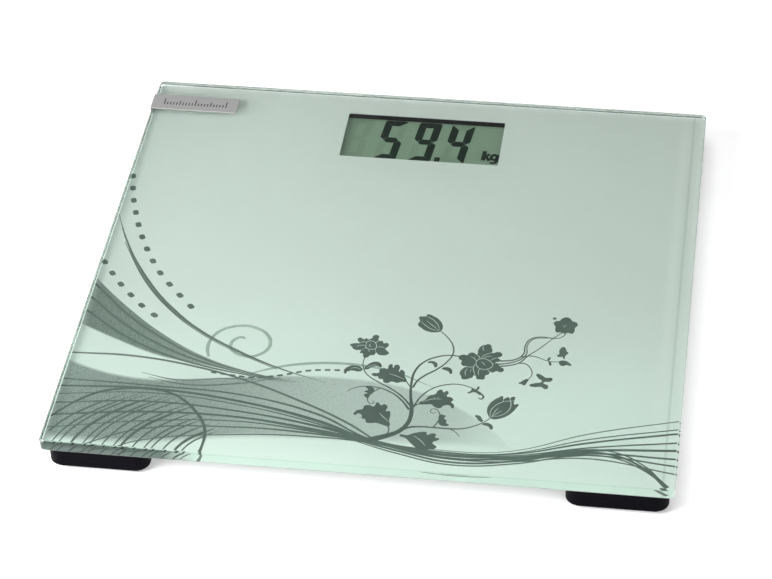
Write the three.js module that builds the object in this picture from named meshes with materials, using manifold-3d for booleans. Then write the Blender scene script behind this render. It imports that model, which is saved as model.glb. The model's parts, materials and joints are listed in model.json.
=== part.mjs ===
// A digital glass bathroom scale: a toughened glass platform with a printed film behind it, four
// load-cell feet, and a display case under the window that holds the LCD, the board and a coin cell.
// Millimetres, +Z up, +Y towards the display, origin on the floor under the middle of the platform.
import * as THREE from "three";
import { mergeVertices } from "three/addons/utils/BufferGeometryUtils.js";
import Module from "manifold-3d";

const wasm = await Module();
wasm.setup();

// ---------------------------------------------------------------- driving dimensions
const plateWidth = 300;
const plateDepth = 300;
const glassThickness = 6;
const plateCornerRadius = 3;
const arris = 0.8; // ground edge of the glass
const standHeight = 13; // floor to the underside of the glass
const filmThickness = 0.25;
const filmInset = 1;
const glueLine = 0.03; // gap that stands for a film of adhesive or a seated face

const windowWidth = 85;
const windowDepth = 39;
const windowRearMargin = 16.1; // window to the rear edge of the glass
const windowCornerRadius = 0.8;

const badgeLength = 47.5;
const badgeDepth = 13.2;
const badgeThickness = 0.5;
const badgeRearMargin = 14;
const badgeLip = 4; // how far the badge reaches under the glass
const badgeCornerRadius = 1.6;

const footSide = 48.5;
const footInset = 2.75; // foot to the edges of the glass
const footCornerRadius = 7;
const footTravel = 0.5; // bending of the load cell at full load
const capWall = 1.8;
const capFloor = 2;
const capEdge = 1.6; // bevel round the bottom of the cap
const capTopGap = 1.25; // cap to film, unloaded
const padThickness = 1.3;
const padProud = 0.5;
const padMargin = 3.3;
const slideClearance = 0.4; // cap to bracket
const tapeThickness = 0.25;
const bracketPlate = 1.4;
const bracketWall = 1.4;
const cellMargin = 7.25; // foot to load cell, all round
const cellThickness = 1.2;
const postRadius = 4;

const cableWidth = 4.2;
const cableThickness = 1.1;
const cableRoom = 1.2; // free space each side of a cable in a notch
const ductWall = 0.9;
const ductGap = 0.6; // duct to foot and to case

const caseWall = 1.8;
const caseCornerRadius = 5;
const caseEdge = 1;
const caseFloor = 1.5;
const coverBottom = 2.2; // free height under the case
const partingZ = 6.5; // where frame and cover meet
const partingGap = 0.1;
const framePlate = 1.5;
const foamThickness = 0.5;
const laneWidth = 5.6; // room beside the LCD for cables and screw bosses

const lcdBorder = 4; // LCD glass hidden round the window
const lcdThickness = 2.4;
const lcdRecess = 3.35; // film to the LCD's face
const lcdFit = 0.3;
const pocketWall = 1.2;
const rimSetback = 0.8; // window rim behind the film's edge

const coinDiameter = 20;
const coinThickness = 3.2;
const coinFit = 0.4;
const wellWall = 1.2;
const latchRoom = 3; // door length in front of the coin cell, for the latch
const doorFit = 0.25;
const doorThickness = 1.3;
const hingeRadius = 0.7;
const hingePinRadius = 0.4;
const hingePinLength = 0.8;

const boardThickness = 1.2;
const boardMargin = 0.6; // board to the case wall
const buttonRadius = 4;
const buttonTravel = 0.3;
const buttonFit = 0.3;
const switchSide = 6;

const roundSides = 24; // facets of a bore or a boss
const cornerSegments = 6;

// ---------------------------------------------------------------- levels and places that follow
const glassBottom = standHeight;
const glassTop = glassBottom + glassThickness;
const filmTop = glassBottom - glueLine;
const filmBottom = filmTop - filmThickness;

const windowY = plateDepth / 2 - windowRearMargin - windowDepth / 2;
const footX = plateWidth / 2 - footInset - footSide / 2;
const footY = plateDepth / 2 - footInset - footSide / 2;

const capTop = filmBottom - capTopGap;
const capCavity = footSide - 2 * capWall;
const capCavityRadius = footCornerRadius - capWall;
const capFloorTop = padProud + capFloor;
const tapeTop = filmBottom - glueLine;
const tapeBottom = tapeTop - tapeThickness;
const bracketTop = tapeBottom - glueLine;
const bracketPlateBottom = bracketTop - bracketPlate;
const bracketSide = capCavity - 2 * slideClearance;
const bracketRadius = capCavityRadius - slideClearance;
const skirtBottom = capFloorTop + 2.5;

const foamTop = filmBottom - glueLine;
const foamBottom = foamTop - foamThickness;
const frameTop = foamBottom - glueLine;
const framePlateBottom = frameTop - framePlate;
const coverFloorTop = coverBottom + caseFloor;
const coverTop = partingZ - partingGap;

const cableTop = framePlateBottom - 0.1;
const cableBottom = cableTop - cableThickness;
const cellSide = footSide - 2 * cellMargin;
const cellTop = cableBottom - 0.75;
const cellBottom = cellTop - cellThickness;
const notchWidth = cableWidth + 2 * cableRoom;
const notchBottom = cableBottom - footTravel - 0.65;

const lcdWidth = windowWidth + 2 * lcdBorder;
const lcdDepth = windowDepth + 2 * lcdBorder;
const lcdTop = filmBottom - lcdRecess;
const lcdBottom = lcdTop - lcdThickness;
const pocketHalfWidth = lcdWidth / 2 + lcdFit + pocketWall;
const pocketHalfDepth = lcdDepth / 2 + lcdFit + pocketWall;

const wellRadius = coinDiameter / 2 + coinFit;
const doorHalfWidth = wellRadius + 0.2;
const frontZone = 2 * doorHalfWidth + latchRoom + 2.4; // depth of the case in front of the LCD
const caseHalfWidth = pocketHalfWidth + laneWidth + caseWall;
const caseRear = windowY + pocketHalfDepth + 0.3 + caseWall;
const caseFront = windowY - pocketHalfDepth - frontZone - caseWall;
const boardHalfWidth = caseHalfWidth - caseWall - laneWidth - 3.9;
const boardFront = caseFront + caseWall + boardMargin;
const boardRear = windowY - pocketHalfDepth - boardMargin;
const boardTop = cableBottom - 0.05;
const boardBottom = boardTop - boardThickness;
const coinX = -boardHalfWidth / 2;
const coinY = caseFront + caseWall + 1 + latchRoom + doorHalfWidth;
const coinBottom = coverFloorTop + 0.25;
const coinTop = coinBottom + coinThickness;
const switchX = boardHalfWidth / 2;
const screwX = caseHalfWidth - caseWall - laneWidth / 2;
const screwRearY = caseRear - caseWall - 3.2;
const screwFrontY = caseFront + caseWall + 3.2;
const boardScrewX = boardHalfWidth - 4;
const boardScrewY = (boardFront + boardRear) / 2;
const hingeY = coinY + doorHalfWidth - doorFit - hingeRadius;
const hingeZ = coverBottom + caseFloor / 2;

// ---------------------------------------------------------------- finishes
const finish = (color, roughness, metalness = 0, more = {}) =>
  new THREE.MeshStandardMaterial({ color, roughness, metalness, ...more });
const glassFinish = finish(0xcfe6da, 0.05, 0, { transparent: true, opacity: 0.35 });
const filmFinish = finish(0xb9cfc3, 0.45, 0.2);
const badgeFinish = finish(0xb5b2b0, 0.35, 0.9);
const blackPlastic = finish(0x0b0b0e, 0.45);
const rubberFinish = finish(0x101012, 0.85);
const foamFinish = finish(0x17181a, 0.95);
const tapeFinish = finish(0xe7e6e0, 0.7);
const sensorSteel = finish(0x9a9c9e, 0.35, 0.9);
const gaugeFinish = finish(0xe9e4d6, 0.6);
const lcdFinish = finish(0x6f8a76, 0.3);
const ribbonFinish = finish(0x8a6a2c, 0.5);
const boardFinish = finish(0x1f5a38, 0.45);
const blobFinish = finish(0x0a0a0a, 0.25);
const coinFinish = finish(0xc7c9cb, 0.25, 1);
const contactFinish = finish(0xcfc9b0, 0.3, 1);
const screwFinish = finish(0x8e9092, 0.35, 1);
const cableFinish = finish(0x2b2c30, 0.6);

// ---------------------------------------------------------------- building blocks
function solidOf(geometry) {
  const bare = geometry.index ? geometry.toNonIndexed() : geometry.clone();
  bare.deleteAttribute("normal");
  bare.deleteAttribute("uv");
  const merged = mergeVertices(bare, 1e-4);
  const triVerts = new Uint32Array(merged.index.array);
  const vertProperties = merged.attributes.position.array;
  return new wasm.Manifold(new wasm.Mesh({ numProp: 3, vertProperties, triVerts }));
}

function geometryOf(solid) {
  const { numProp, numVert, vertProperties, triVerts } = solid.getMesh();
  const positions = new Float32Array(numVert * 3);
  for (let i = 0; i < numVert; i++)
    positions.set(vertProperties.subarray(i * numProp, i * numProp + 3), i * 3);
  const geometry = new THREE.BufferGeometry();
  geometry.setAttribute("position", new THREE.BufferAttribute(positions, 3));
  geometry.setIndex(new THREE.BufferAttribute(triVerts, 1));
  geometry.computeVertexNormals();
  return geometry;
}

function box(x0, x1, y0, y1, z0, z1) {
  const geometry = new THREE.BoxGeometry(x1 - x0, y1 - y0, z1 - z0);
  return solidOf(geometry.translate((x0 + x1) / 2, (y0 + y1) / 2, (z0 + z1) / 2));
}

// A box centred on x and y.
function block(x, y, width, depth, z0, z1) {
  return box(x - width / 2, x + width / 2, y - depth / 2, y + depth / 2, z0, z1);
}

function disc(x, y, radius, z0, z1, sides = roundSides) {
  const geometry = new THREE.CylinderGeometry(radius, radius, z1 - z0, sides);
  return solidOf(geometry.rotateX(Math.PI / 2).translate(x, y, (z0 + z1) / 2));
}

// A rod along X.
function rodX(x0, x1, y, z, radius, sides = 16) {
  const geometry = new THREE.CylinderGeometry(radius, radius, x1 - x0, sides);
  return solidOf(geometry.rotateZ(Math.PI / 2).translate((x0 + x1) / 2, y, z));
}

function roundedRect(x, y, width, depth, radius) {
  const [x0, x1, y0, y1] = [x - width / 2, x + width / 2, y - depth / 2, y + depth / 2];
  const shape = new THREE.Shape();
  shape.moveTo(x0 + radius, y0);
  shape.lineTo(x1 - radius, y0);
  shape.absarc(x1 - radius, y0 + radius, radius, -Math.PI / 2, 0, false);
  shape.lineTo(x1, y1 - radius);
  shape.absarc(x1 - radius, y1 - radius, radius, 0, Math.PI / 2, false);
  shape.lineTo(x0 + radius, y1);
  shape.absarc(x0 + radius, y1 - radius, radius, Math.PI / 2, Math.PI, false);
  shape.lineTo(x0, y0 + radius);
  shape.absarc(x0 + radius, y0 + radius, radius, Math.PI, 1.5 * Math.PI, false);
  return shape;
}

function slab(shape, z0, z1) {
  const options = { depth: z1 - z0, bevelEnabled: false, curveSegments: cornerSegments };
  return solidOf(new THREE.ExtrudeGeometry(shape, options).translate(0, 0, z0));
}

// A slab whose top and bottom rims are bevelled by the same amount.
function bevelledSlab(shape, z0, z1, bevel) {
  const options = {
    depth: z1 - z0 - 2 * bevel,
    bevelEnabled: true,
    bevelThickness: bevel,
    bevelSize: bevel,
    bevelOffset: -bevel,
    bevelSegments: 1,
    curveSegments: cornerSegments,
  };
  return solidOf(new THREE.ExtrudeGeometry(shape, options).translate(0, 0, z0 + bevel));
}

// A slab bevelled round its bottom only.
function footedSlab(shape, z0, z1, bevel) {
  const reach = 1000;
  return bevelledSlab(shape, z0, z1 + 2 * bevel, bevel).subtract(
    box(-reach, reach, -reach, reach, z1, z1 + reach),
  );
}

// An outline in the Y-Z plane, pushed along X.
function profileAlongX(points, x0, x1) {
  const shape = new THREE.Shape(points.map(([y, z]) => new THREE.Vector2(y, z)));
  const geometry = new THREE.ExtrudeGeometry(shape, { depth: x1 - x0, bevelEnabled: false });
  const turn = new THREE.Matrix4().set(0, 0, 1, x0, 1, 0, 0, 0, 0, 1, 0, 0, 0, 0, 0, 1);
  return solidOf(geometry.applyMatrix4(turn));
}

// A straight bar in plan, from a start point along an angle, between two distances.
function bar(start, angle, from, to, width, z0, z1) {
  const geometry = new THREE.BoxGeometry(to - from, width, z1 - z0);
  geometry.translate((from + to) / 2, 0, (z0 + z1) / 2);
  return solidOf(geometry.rotateZ(angle).translate(start.x, start.y, 0));
}

const scale = new THREE.Group();

function add(name, solid, material, group = scale) {
  const mesh = new THREE.Mesh(geometryOf(solid), material);
  mesh.name = name;
  group.add(mesh);
  return mesh;
}

// ---------------------------------------------------------------- platform
function buildPlatform() {
  // mirrored so that the long facet edge of its top ends clear of the badge
  const outline = roundedRect(0, 0, plateWidth, plateDepth, plateCornerRadius);
  const plate = bevelledSlab(outline, glassBottom, glassTop, arris).mirror([1, 0, 0]);
  add("glass_platform", plate, glassFinish);

  const filmOutline = roundedRect(
    0,
    0,
    plateWidth - 2 * filmInset,
    plateDepth - 2 * filmInset,
    plateCornerRadius - filmInset,
  );
  filmOutline.holes.push(
    roundedRect(0, windowY, windowWidth, windowDepth, windowCornerRadius),
  );
  add("decor_film", slab(filmOutline, filmBottom, filmTop), filmFinish);

  // the badge grips the left edge: a face on top, a strap down the side, a lip underneath
  const left = -plateWidth / 2 - glueLine;
  const y = plateDepth / 2 - badgeRearMargin - badgeDepth / 2;
  const topZ = glassTop + glueLine;
  const lipTop = filmBottom - glueLine;
  const faceLeft = left - badgeThickness;
  const face = slab(
    roundedRect(
      faceLeft + badgeLength / 2,
      y,
      badgeLength,
      badgeDepth,
      badgeCornerRadius,
    ),
    topZ,
    topZ + badgeThickness,
  ).add(
    block(
      faceLeft + badgeLength / 4,
      y,
      badgeLength / 2,
      badgeDepth,
      topZ,
      topZ + badgeThickness,
    ),
  );
  const strap = box(
    faceLeft,
    left,
    y - badgeDepth / 2,
    y + badgeDepth / 2,
    lipTop - badgeThickness,
    topZ + badgeThickness,
  );
  const lip = box(
    faceLeft,
    left + badgeLip,
    y - badgeDepth / 2,
    y + badgeDepth / 2,
    lipTop - badgeThickness,
    lipTop,
  );
  add("name_badge", face.add(strap).add(lip), badgeFinish);
}

// ---------------------------------------------------------------- cables and ducts
// The two routes on the left; the right-hand ones mirror them.
const cableEntryX = boardHalfWidth - 6;
const frontExit = {
  foot: new THREE.Vector2(-footX, -footY),
  goal: new THREE.Vector2(-cableEntryX, caseFront),
};
frontExit.angle = Math.atan2(
  frontExit.goal.y - frontExit.foot.y,
  frontExit.goal.x - frontExit.foot.x,
);
frontExit.length = frontExit.goal.distanceTo(frontExit.foot);

// Mirrors a solid in the Y-Z plane for the right-hand side.
const sideOf = (solid, side) => (side < 0 ? solid : solid.mirror([1, 0, 0]));

// A flat cable that follows the points of a plan route at an even width.
function flatCable(points, side) {
  const left = [];
  const right = [];
  points.forEach((point, i) => {
    const before = points[Math.max(i - 1, 0)];
    const after = points[Math.min(i + 1, points.length - 1)];
    const across = after.clone().sub(before).normalize();
    across.set(-across.y, across.x).multiplyScalar(cableWidth / 2);
    left.push(point.clone().add(across));
    right.unshift(point.clone().sub(across));
  });
  const shape = new THREE.Shape([...left, ...right]);
  return sideOf(slab(shape, cableBottom, cableTop), side);
}

// A quarter bend in plan, from one heading to another.
function bend(centre, radius, from, to, steps = 6) {
  return Array.from({ length: steps + 1 }, (_, i) => {
    const angle = from + ((to - from) * i) / steps;
    return new THREE.Vector2(
      centre.x + radius * Math.cos(angle),
      centre.y + radius * Math.sin(angle),
    );
  });
}

const cellReach = 12; // where a cable starts, from the middle of its foot
const ductOuter = notchWidth + 2 * ductWall - 1;
const ductBottom = notchBottom - 0.3;

function duct(start, angle, from, to) {
  const top = filmBottom - glueLine;
  const inner = ductBottom + ductWall;
  return bar(start, angle, from, to, ductOuter, ductBottom, top).subtract(
    bar(start, angle, from - 1, to + 1, ductOuter - 2 * ductWall, inner, top + 1),
  );
}

function buildWiring() {
  const reach = footSide;
  const footBlock = (x, y) =>
    block(x, y, footSide + 2 * ductGap, footSide + 2 * ductGap, 0, glassBottom);
  const caseBlock = box(
    -caseHalfWidth - ductGap,
    caseHalfWidth + ductGap,
    caseFront - ductGap,
    caseRear + ductGap,
    0,
    glassBottom,
  );
  const frontDuct = duct(frontExit.foot, frontExit.angle, 0, frontExit.length + reach)
    .subtract(footBlock(-footX, -footY))
    .subtract(caseBlock)
    .subtract(box(-plateWidth, plateWidth, caseRear, plateDepth, 0, glassTop));
  const rearStart = new THREE.Vector2(-footX, footY);
  const rearDuct = duct(rearStart, 0, 0, footX)
    .subtract(footBlock(-footX, footY))
    .subtract(caseBlock);

  const along = (distance) =>
    new THREE.Vector2(
      frontExit.foot.x + distance * Math.cos(frontExit.angle),
      frontExit.foot.y + distance * Math.sin(frontExit.angle),
    );
  const frontRoute = [along(cellReach), along(frontExit.length + 7)];

  const turn = 3;
  const rearGoalY = boardRear - 4;
  const rearRoute = [
    new THREE.Vector2(-footX + cellReach, footY),
    ...bend(new THREE.Vector2(-screwX - turn, footY - turn), turn, Math.PI / 2, 0),
    ...bend(new THREE.Vector2(-screwX + turn, rearGoalY + turn), turn, Math.PI, 1.5 * Math.PI),
    new THREE.Vector2(-boardHalfWidth + 5, rearGoalY),
  ];

  for (const [side, letter] of [
    [-1, "l"],
    [1, "r"],
  ]) {
    add(`wire_duct_front_${letter}`, sideOf(frontDuct, side), blackPlastic);
    add(`wire_duct_rear_${letter}`, sideOf(rearDuct, side), blackPlastic);
    add(`sensor_cable_front_${letter}`, flatCable(frontRoute, side), cableFinish);
    add(`sensor_cable_rear_${letter}`, flatCable(rearRoute, side), cableFinish);
  }
}

// ---------------------------------------------------------------- feet
// Each foot is made about its own centre, with its cable leaving near +Y.
const snapLength = 10;
const snapBottom = cellTop + 0.4;
const snapHeight = 0.8;
const snapDepth = 0.9;

function cableNotch(exit, z0, z1) {
  return bar({ x: 0, y: 0 }, exit, cellReach - 1, footSide, notchWidth, z0, z1);
}

function footCap(exit) {
  const outer = roundedRect(0, 0, footSide, footSide, footCornerRadius);
  const cavity = roundedRect(0, 0, capCavity, capCavity, capCavityRadius);
  const padSide = footSide - 2 * padMargin + 0.4;
  let cap = footedSlab(outer, padProud, capTop, capEdge)
    .subtract(slab(cavity, capFloorTop, capTop + 1))
    .subtract(
      slab(
        roundedRect(0, 0, padSide, padSide, footCornerRadius - padMargin + 0.2),
        padProud - 1,
        padThickness + glueLine,
      ),
    )
    .add(disc(0, 0, postRadius, capFloorTop - 0.5, cellBottom - glueLine));
  for (const side of [-1, 1])
    cap = cap.add(
      block(
        side * (capCavity / 2 - snapDepth / 2 + 0.25),
        0,
        snapDepth + 0.5,
        snapLength,
        snapBottom,
        snapBottom + snapHeight,
      ),
    );
  return cap.subtract(cableNotch(exit, notchBottom, capTop + 1));
}

function footPad() {
  const side = footSide - 2 * padMargin;
  const outline = roundedRect(0, 0, side, side, footCornerRadius - padMargin);
  return slab(outline, 0, padThickness);
}

function footBracket(exit) {
  const outer = roundedRect(0, 0, bracketSide, bracketSide, bracketRadius);
  const innerSide = bracketSide - 2 * bracketWall;
  const inner = roundedRect(0, 0, innerSide, innerSide, bracketRadius - bracketWall);
  const seat = 6;
  const seatAt = cellSide / 2 - seat / 2;
  const clipX = cellSide / 2 + 0.3;
  const clipWall = 1.4;
  const clipLip = 1.2;
  let bracket = slab(outer, skirtBottom, bracketTop).subtract(
    slab(inner, skirtBottom - 1, bracketPlateBottom),
  );
  for (const sx of [-1, 1]) {
    for (const sy of [-1, 1])
      bracket = bracket.add(
        block(
          sx * seatAt,
          sy * seatAt,
          seat,
          seat,
          cellTop + glueLine,
          bracketPlateBottom + 0.5,
        ),
      );
    const windowTop = snapBottom + snapHeight + footTravel + 0.3;
    const clipBottom = cellBottom - 0.9;
    bracket = bracket
      .subtract(
        block(
          (sx * bracketSide) / 2,
          0,
          4 * bracketWall,
          snapLength + 1,
          snapBottom - 0.3,
          windowTop,
        ),
      )
      .add(
        block(
          sx * (clipX + clipWall / 2),
          0,
          clipWall,
          snapLength,
          clipBottom,
          bracketPlateBottom + 0.5,
        ),
      )
      .add(
        block(
          sx * (clipX + clipWall / 2 - clipLip / 2),
          0,
          clipWall + clipLip,
          snapLength,
          clipBottom,
          cellBottom - glueLine,
        ),
      );
  }
  return bracket.subtract(cableNotch(exit, skirtBottom - 1, bracketPlateBottom));
}

// A stamped steel plate: a frame with a tongue that the cap's post bends.
function loadCell() {
  const shape = roundedRect(0, 0, cellSide, cellSide, bracketRadius - bracketWall);
  const tongue = 0.19 * cellSide;
  const slot = 0.1 * cellSide;
  const root = 0.24 * cellSide;
  const tip = -0.27 * cellSide;
  const hole = new THREE.Path();
  hole.moveTo(-tongue - slot, root);
  hole.lineTo(-tongue, root);
  hole.lineTo(-tongue, tip);
  hole.lineTo(tongue, tip);
  hole.lineTo(tongue, root);
  hole.lineTo(tongue + slot, root);
  hole.lineTo(tongue + slot, tip - slot);
  hole.lineTo(-tongue - slot, tip - slot);
  shape.holes.push(hole);
  return slab(shape, cellBottom, cellTop);
}

function buildFeet() {
  const tapeSide = bracketSide - 4;
  const tape = roundedRect(0, 0, tapeSide, tapeSide, bracketRadius - 1);
  const quarter = Math.PI / 2;
  // name, place, world heading of the cable, and the quarter turn that brings +Y near it
  const feet = [
    ["front_l", -footX, -footY, frontExit.angle, 0],
    ["front_r", footX, -footY, Math.PI - frontExit.angle, 0],
    ["rear_l", -footX, footY, 0, -quarter],
    ["rear_r", footX, footY, Math.PI, quarter],
  ];
  for (const [name, x, y, heading, turn] of feet) {
    const foot = new THREE.Group();
    foot.position.set(x, y, 0);
    foot.rotation.z = turn;
    scale.add(foot);
    const exit = heading - turn;
    const gauge = block(0, cellSide / 2 - 6, 8, 5, cellTop + glueLine, cellTop + 0.5);
    add(`foot_tape_${name}`, slab(tape, tapeBottom, tapeTop), tapeFinish, foot);
    add(`foot_bracket_${name}`, footBracket(exit), blackPlastic, foot);
    add(`load_cell_${name}`, loadCell(), sensorSteel, foot);
    add(`strain_gauge_${name}`, gauge, gaugeFinish, foot);
    add(`foot_cap_${name}`, footCap(exit), blackPlastic, foot);
    add(`foot_pad_${name}`, footPad(), rubberFinish, foot);
  }
}

// ---------------------------------------------------------------- display case
const caseWidth = 2 * caseHalfWidth;
const caseDepth = caseRear - caseFront;
const caseY = (caseRear + caseFront) / 2;
const caseScrews = [
  ["rear_l", -screwX, screwRearY],
  ["rear_r", screwX, screwRearY],
  ["front_l", -screwX, screwFrontY],
  ["front_r", screwX, screwFrontY],
];
const boardScrews = [
  ["l", -boardScrewX],
  ["r", boardScrewX],
];
const shankRadius = 1.1;
const shankTop = framePlateBottom - 0.4;
const headRadius = 2.1;
const headBottom = coverBottom + 0.7;
const headTop = headBottom + 1.45;
const boardShankRadius = 0.95;
const boardShankTop = framePlateBottom + 0.9;

// Room for the cables where they pass through the case's walls.
function cableGates() {
  const z0 = cableBottom - 0.25;
  const z1 = framePlateBottom;
  const front = bar(
    frontExit.foot,
    frontExit.angle,
    frontExit.length - 6,
    frontExit.length + 6,
    notchWidth,
    z0,
    z1,
  );
  const rear = block(
    -caseHalfWidth,
    footY,
    4 * caseWall,
    notchWidth,
    z0,
    z1,
  );
  return front.add(rear).add(front.mirror([1, 0, 0])).add(rear.mirror([1, 0, 0]));
}

function displayFrame() {
  const outer = roundedRect(0, caseY, caseWidth, caseDepth, caseCornerRadius);
  const inner = roundedRect(
    0,
    caseY,
    caseWidth - 2 * caseWall,
    caseDepth - 2 * caseWall,
    caseCornerRadius - caseWall,
  );
  const openingWidth = windowWidth + 2 * rimSetback;
  const openingDepth = windowDepth + 2 * rimSetback;
  const rimWidth = openingWidth + 2 * pocketWall;
  const rimDepth = openingDepth + 2 * pocketWall;
  let frame = slab(outer, partingZ, frameTop).subtract(
    slab(inner, partingZ - 1, framePlateBottom),
  );
  const pocket = block(
    0,
    windowY,
    2 * pocketHalfWidth,
    2 * pocketHalfDepth,
    lcdBottom,
    framePlateBottom + 0.5,
  ).subtract(
    block(
      0,
      windowY,
      lcdWidth + 2 * lcdFit,
      lcdDepth + 2 * lcdFit,
      lcdBottom - 1,
      framePlateBottom,
    ),
  );
  frame = frame
    .add(pocket)
    .add(block(0, windowY, rimWidth, rimDepth, lcdTop + glueLine, framePlateBottom + 0.5));
  for (const [, x, y] of caseScrews)
    frame = frame
      .add(disc(x, y, laneWidth / 2 - 0.1, partingZ + 0.1, framePlateBottom + 0.5))
      .add(
        block(
          x + (Math.sign(x) * laneWidth) / 4,
          y,
          laneWidth / 2 + 0.6,
          2,
          partingZ + 0.1,
          framePlateBottom + 0.5,
        ),
      )
      .subtract(disc(x, y, shankRadius + 0.1, partingZ - 1, shankTop + 0.4));
  for (const [, x] of boardScrews)
    frame = frame
      .add(disc(x, boardScrewY, 2.6, boardTop + glueLine, framePlateBottom + 0.5))
      .subtract(
        disc(x, boardScrewY, boardShankRadius + 0.1, boardTop - 1, boardShankTop + 0.2),
      );
  return frame
    .subtract(block(0, windowY, openingWidth, openingDepth, lcdTop - 1, frameTop + 1))
    .subtract(cableGates());
}

function caseCover() {
  const outer = roundedRect(0, caseY, caseWidth, caseDepth, caseCornerRadius);
  const inner = roundedRect(
    0,
    caseY,
    caseWidth - 2 * caseWall,
    caseDepth - 2 * caseWall,
    caseCornerRadius - caseWall,
  );
  let cover = footedSlab(outer, coverBottom, coverTop, caseEdge).subtract(
    slab(inner, coverFloorTop, coverTop + 1),
  );
  // ribs that press the LCD up against its rim
  for (const sign of [-1, 1])
    cover = cover.add(
      block(
        0,
        windowY + (sign * windowDepth) / 3,
        lcdWidth - 6,
        1.2,
        coverFloorTop - 0.5,
        lcdBottom - glueLine,
      ),
    );
  // the well that holds the coin cell, open at one side for the contact
  cover = cover.add(
    disc(coinX, coinY, wellRadius + wellWall, coverFloorTop - 0.5, coinTop + 0.2, 36),
  );
  for (const [, x, y] of caseScrews)
    cover = cover
      .add(disc(x, y, 3.3, coverFloorTop - 0.5, coverTop))
      .subtract(disc(x, y, headRadius + 0.3, coverBottom - 1, headTop + glueLine))
      .subtract(disc(x, y, shankRadius + 0.25, coverBottom - 1, coverTop + 1));
  const doorFront = coinY - doorHalfWidth - latchRoom;
  const doorRear = coinY + doorHalfWidth;
  const pinReach = doorHalfWidth + hingePinLength - doorFit + 0.2;
  return cover
    .subtract(disc(coinX, coinY, wellRadius, coverBottom - 1, coinTop + 1, 36))
    .subtract(
      box(
        coinX + coinDiameter / 2 - 1.5,
        coinX + wellRadius + wellWall + 1,
        coinY - 4,
        coinY + 4,
        coverFloorTop,
        coinTop + 1,
      ),
    )
    .subtract(
      box(
        coinX - doorHalfWidth,
        coinX + doorHalfWidth,
        doorFront,
        doorRear,
        coverBottom - 1,
        coverFloorTop,
      ),
    )
    .subtract(
      block(coinX, doorFront - 0.8, 9, 3, coverBottom - 1, coverBottom + 0.8),
    )
    .subtract(
      rodX(coinX - pinReach, coinX + pinReach, hingeY, hingeZ, hingePinRadius + 0.1),
    )
    .subtract(
      disc(switchX, coinY, buttonRadius + buttonFit, coverBottom - 1, coverFloorTop + 1),
    );
}

function batteryDoor() {
  const halfWidth = doorHalfWidth - doorFit;
  const front = coinY - doorHalfWidth - latchRoom + doorFit;
  const latch = 1;
  return box(
    coinX - halfWidth,
    coinX + halfWidth,
    front,
    hingeY,
    coverBottom,
    coverBottom + doorThickness,
  )
    .add(rodX(coinX - halfWidth, coinX + halfWidth, hingeY, hingeZ, hingeRadius))
    .add(
      rodX(
        coinX - halfWidth - hingePinLength,
        coinX + halfWidth + hingePinLength,
        hingeY,
        hingeZ,
        hingePinRadius,
      ),
    )
    .add(block(coinX, front + latch / 2, 7, latch, coverBottom, coverFloorTop + 1.3));
}

function buildCase() {
  const foam = roundedRect(
    0,
    caseY,
    caseWidth - 2,
    caseDepth - 2,
    caseCornerRadius - 1,
  );
  foam.holes.push(
    roundedRect(
      0,
      windowY,
      windowWidth + 2 * rimSetback,
      windowDepth + 2 * rimSetback,
      windowCornerRadius,
    ),
  );
  add("case_foam_seal", slab(foam, foamBottom, foamTop), foamFinish);
  add("display_frame", displayFrame(), blackPlastic);
  add("case_cover", caseCover(), blackPlastic);
  add("battery_door", batteryDoor(), blackPlastic);
  add(
    "lcd_panel",
    block(0, windowY, lcdWidth, lcdDepth, lcdBottom, lcdTop),
    lcdFinish,
  );
  for (const [name, x, y] of caseScrews)
    add(
      `case_screw_${name}`,
      disc(x, y, headRadius, headBottom, headTop).add(
        disc(x, y, shankRadius, headTop - 0.2, shankTop),
      ),
      screwFinish,
    );
}

// ---------------------------------------------------------------- electronics
// A thin strip that follows a line of points in the Y-Z plane.
function stripAlongX(points, thickness, x0, x1) {
  const above = [...points].reverse().map(([y, z]) => [y, z + thickness]);
  return profileAlongX([...points, ...above], x0, x1);
}

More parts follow.
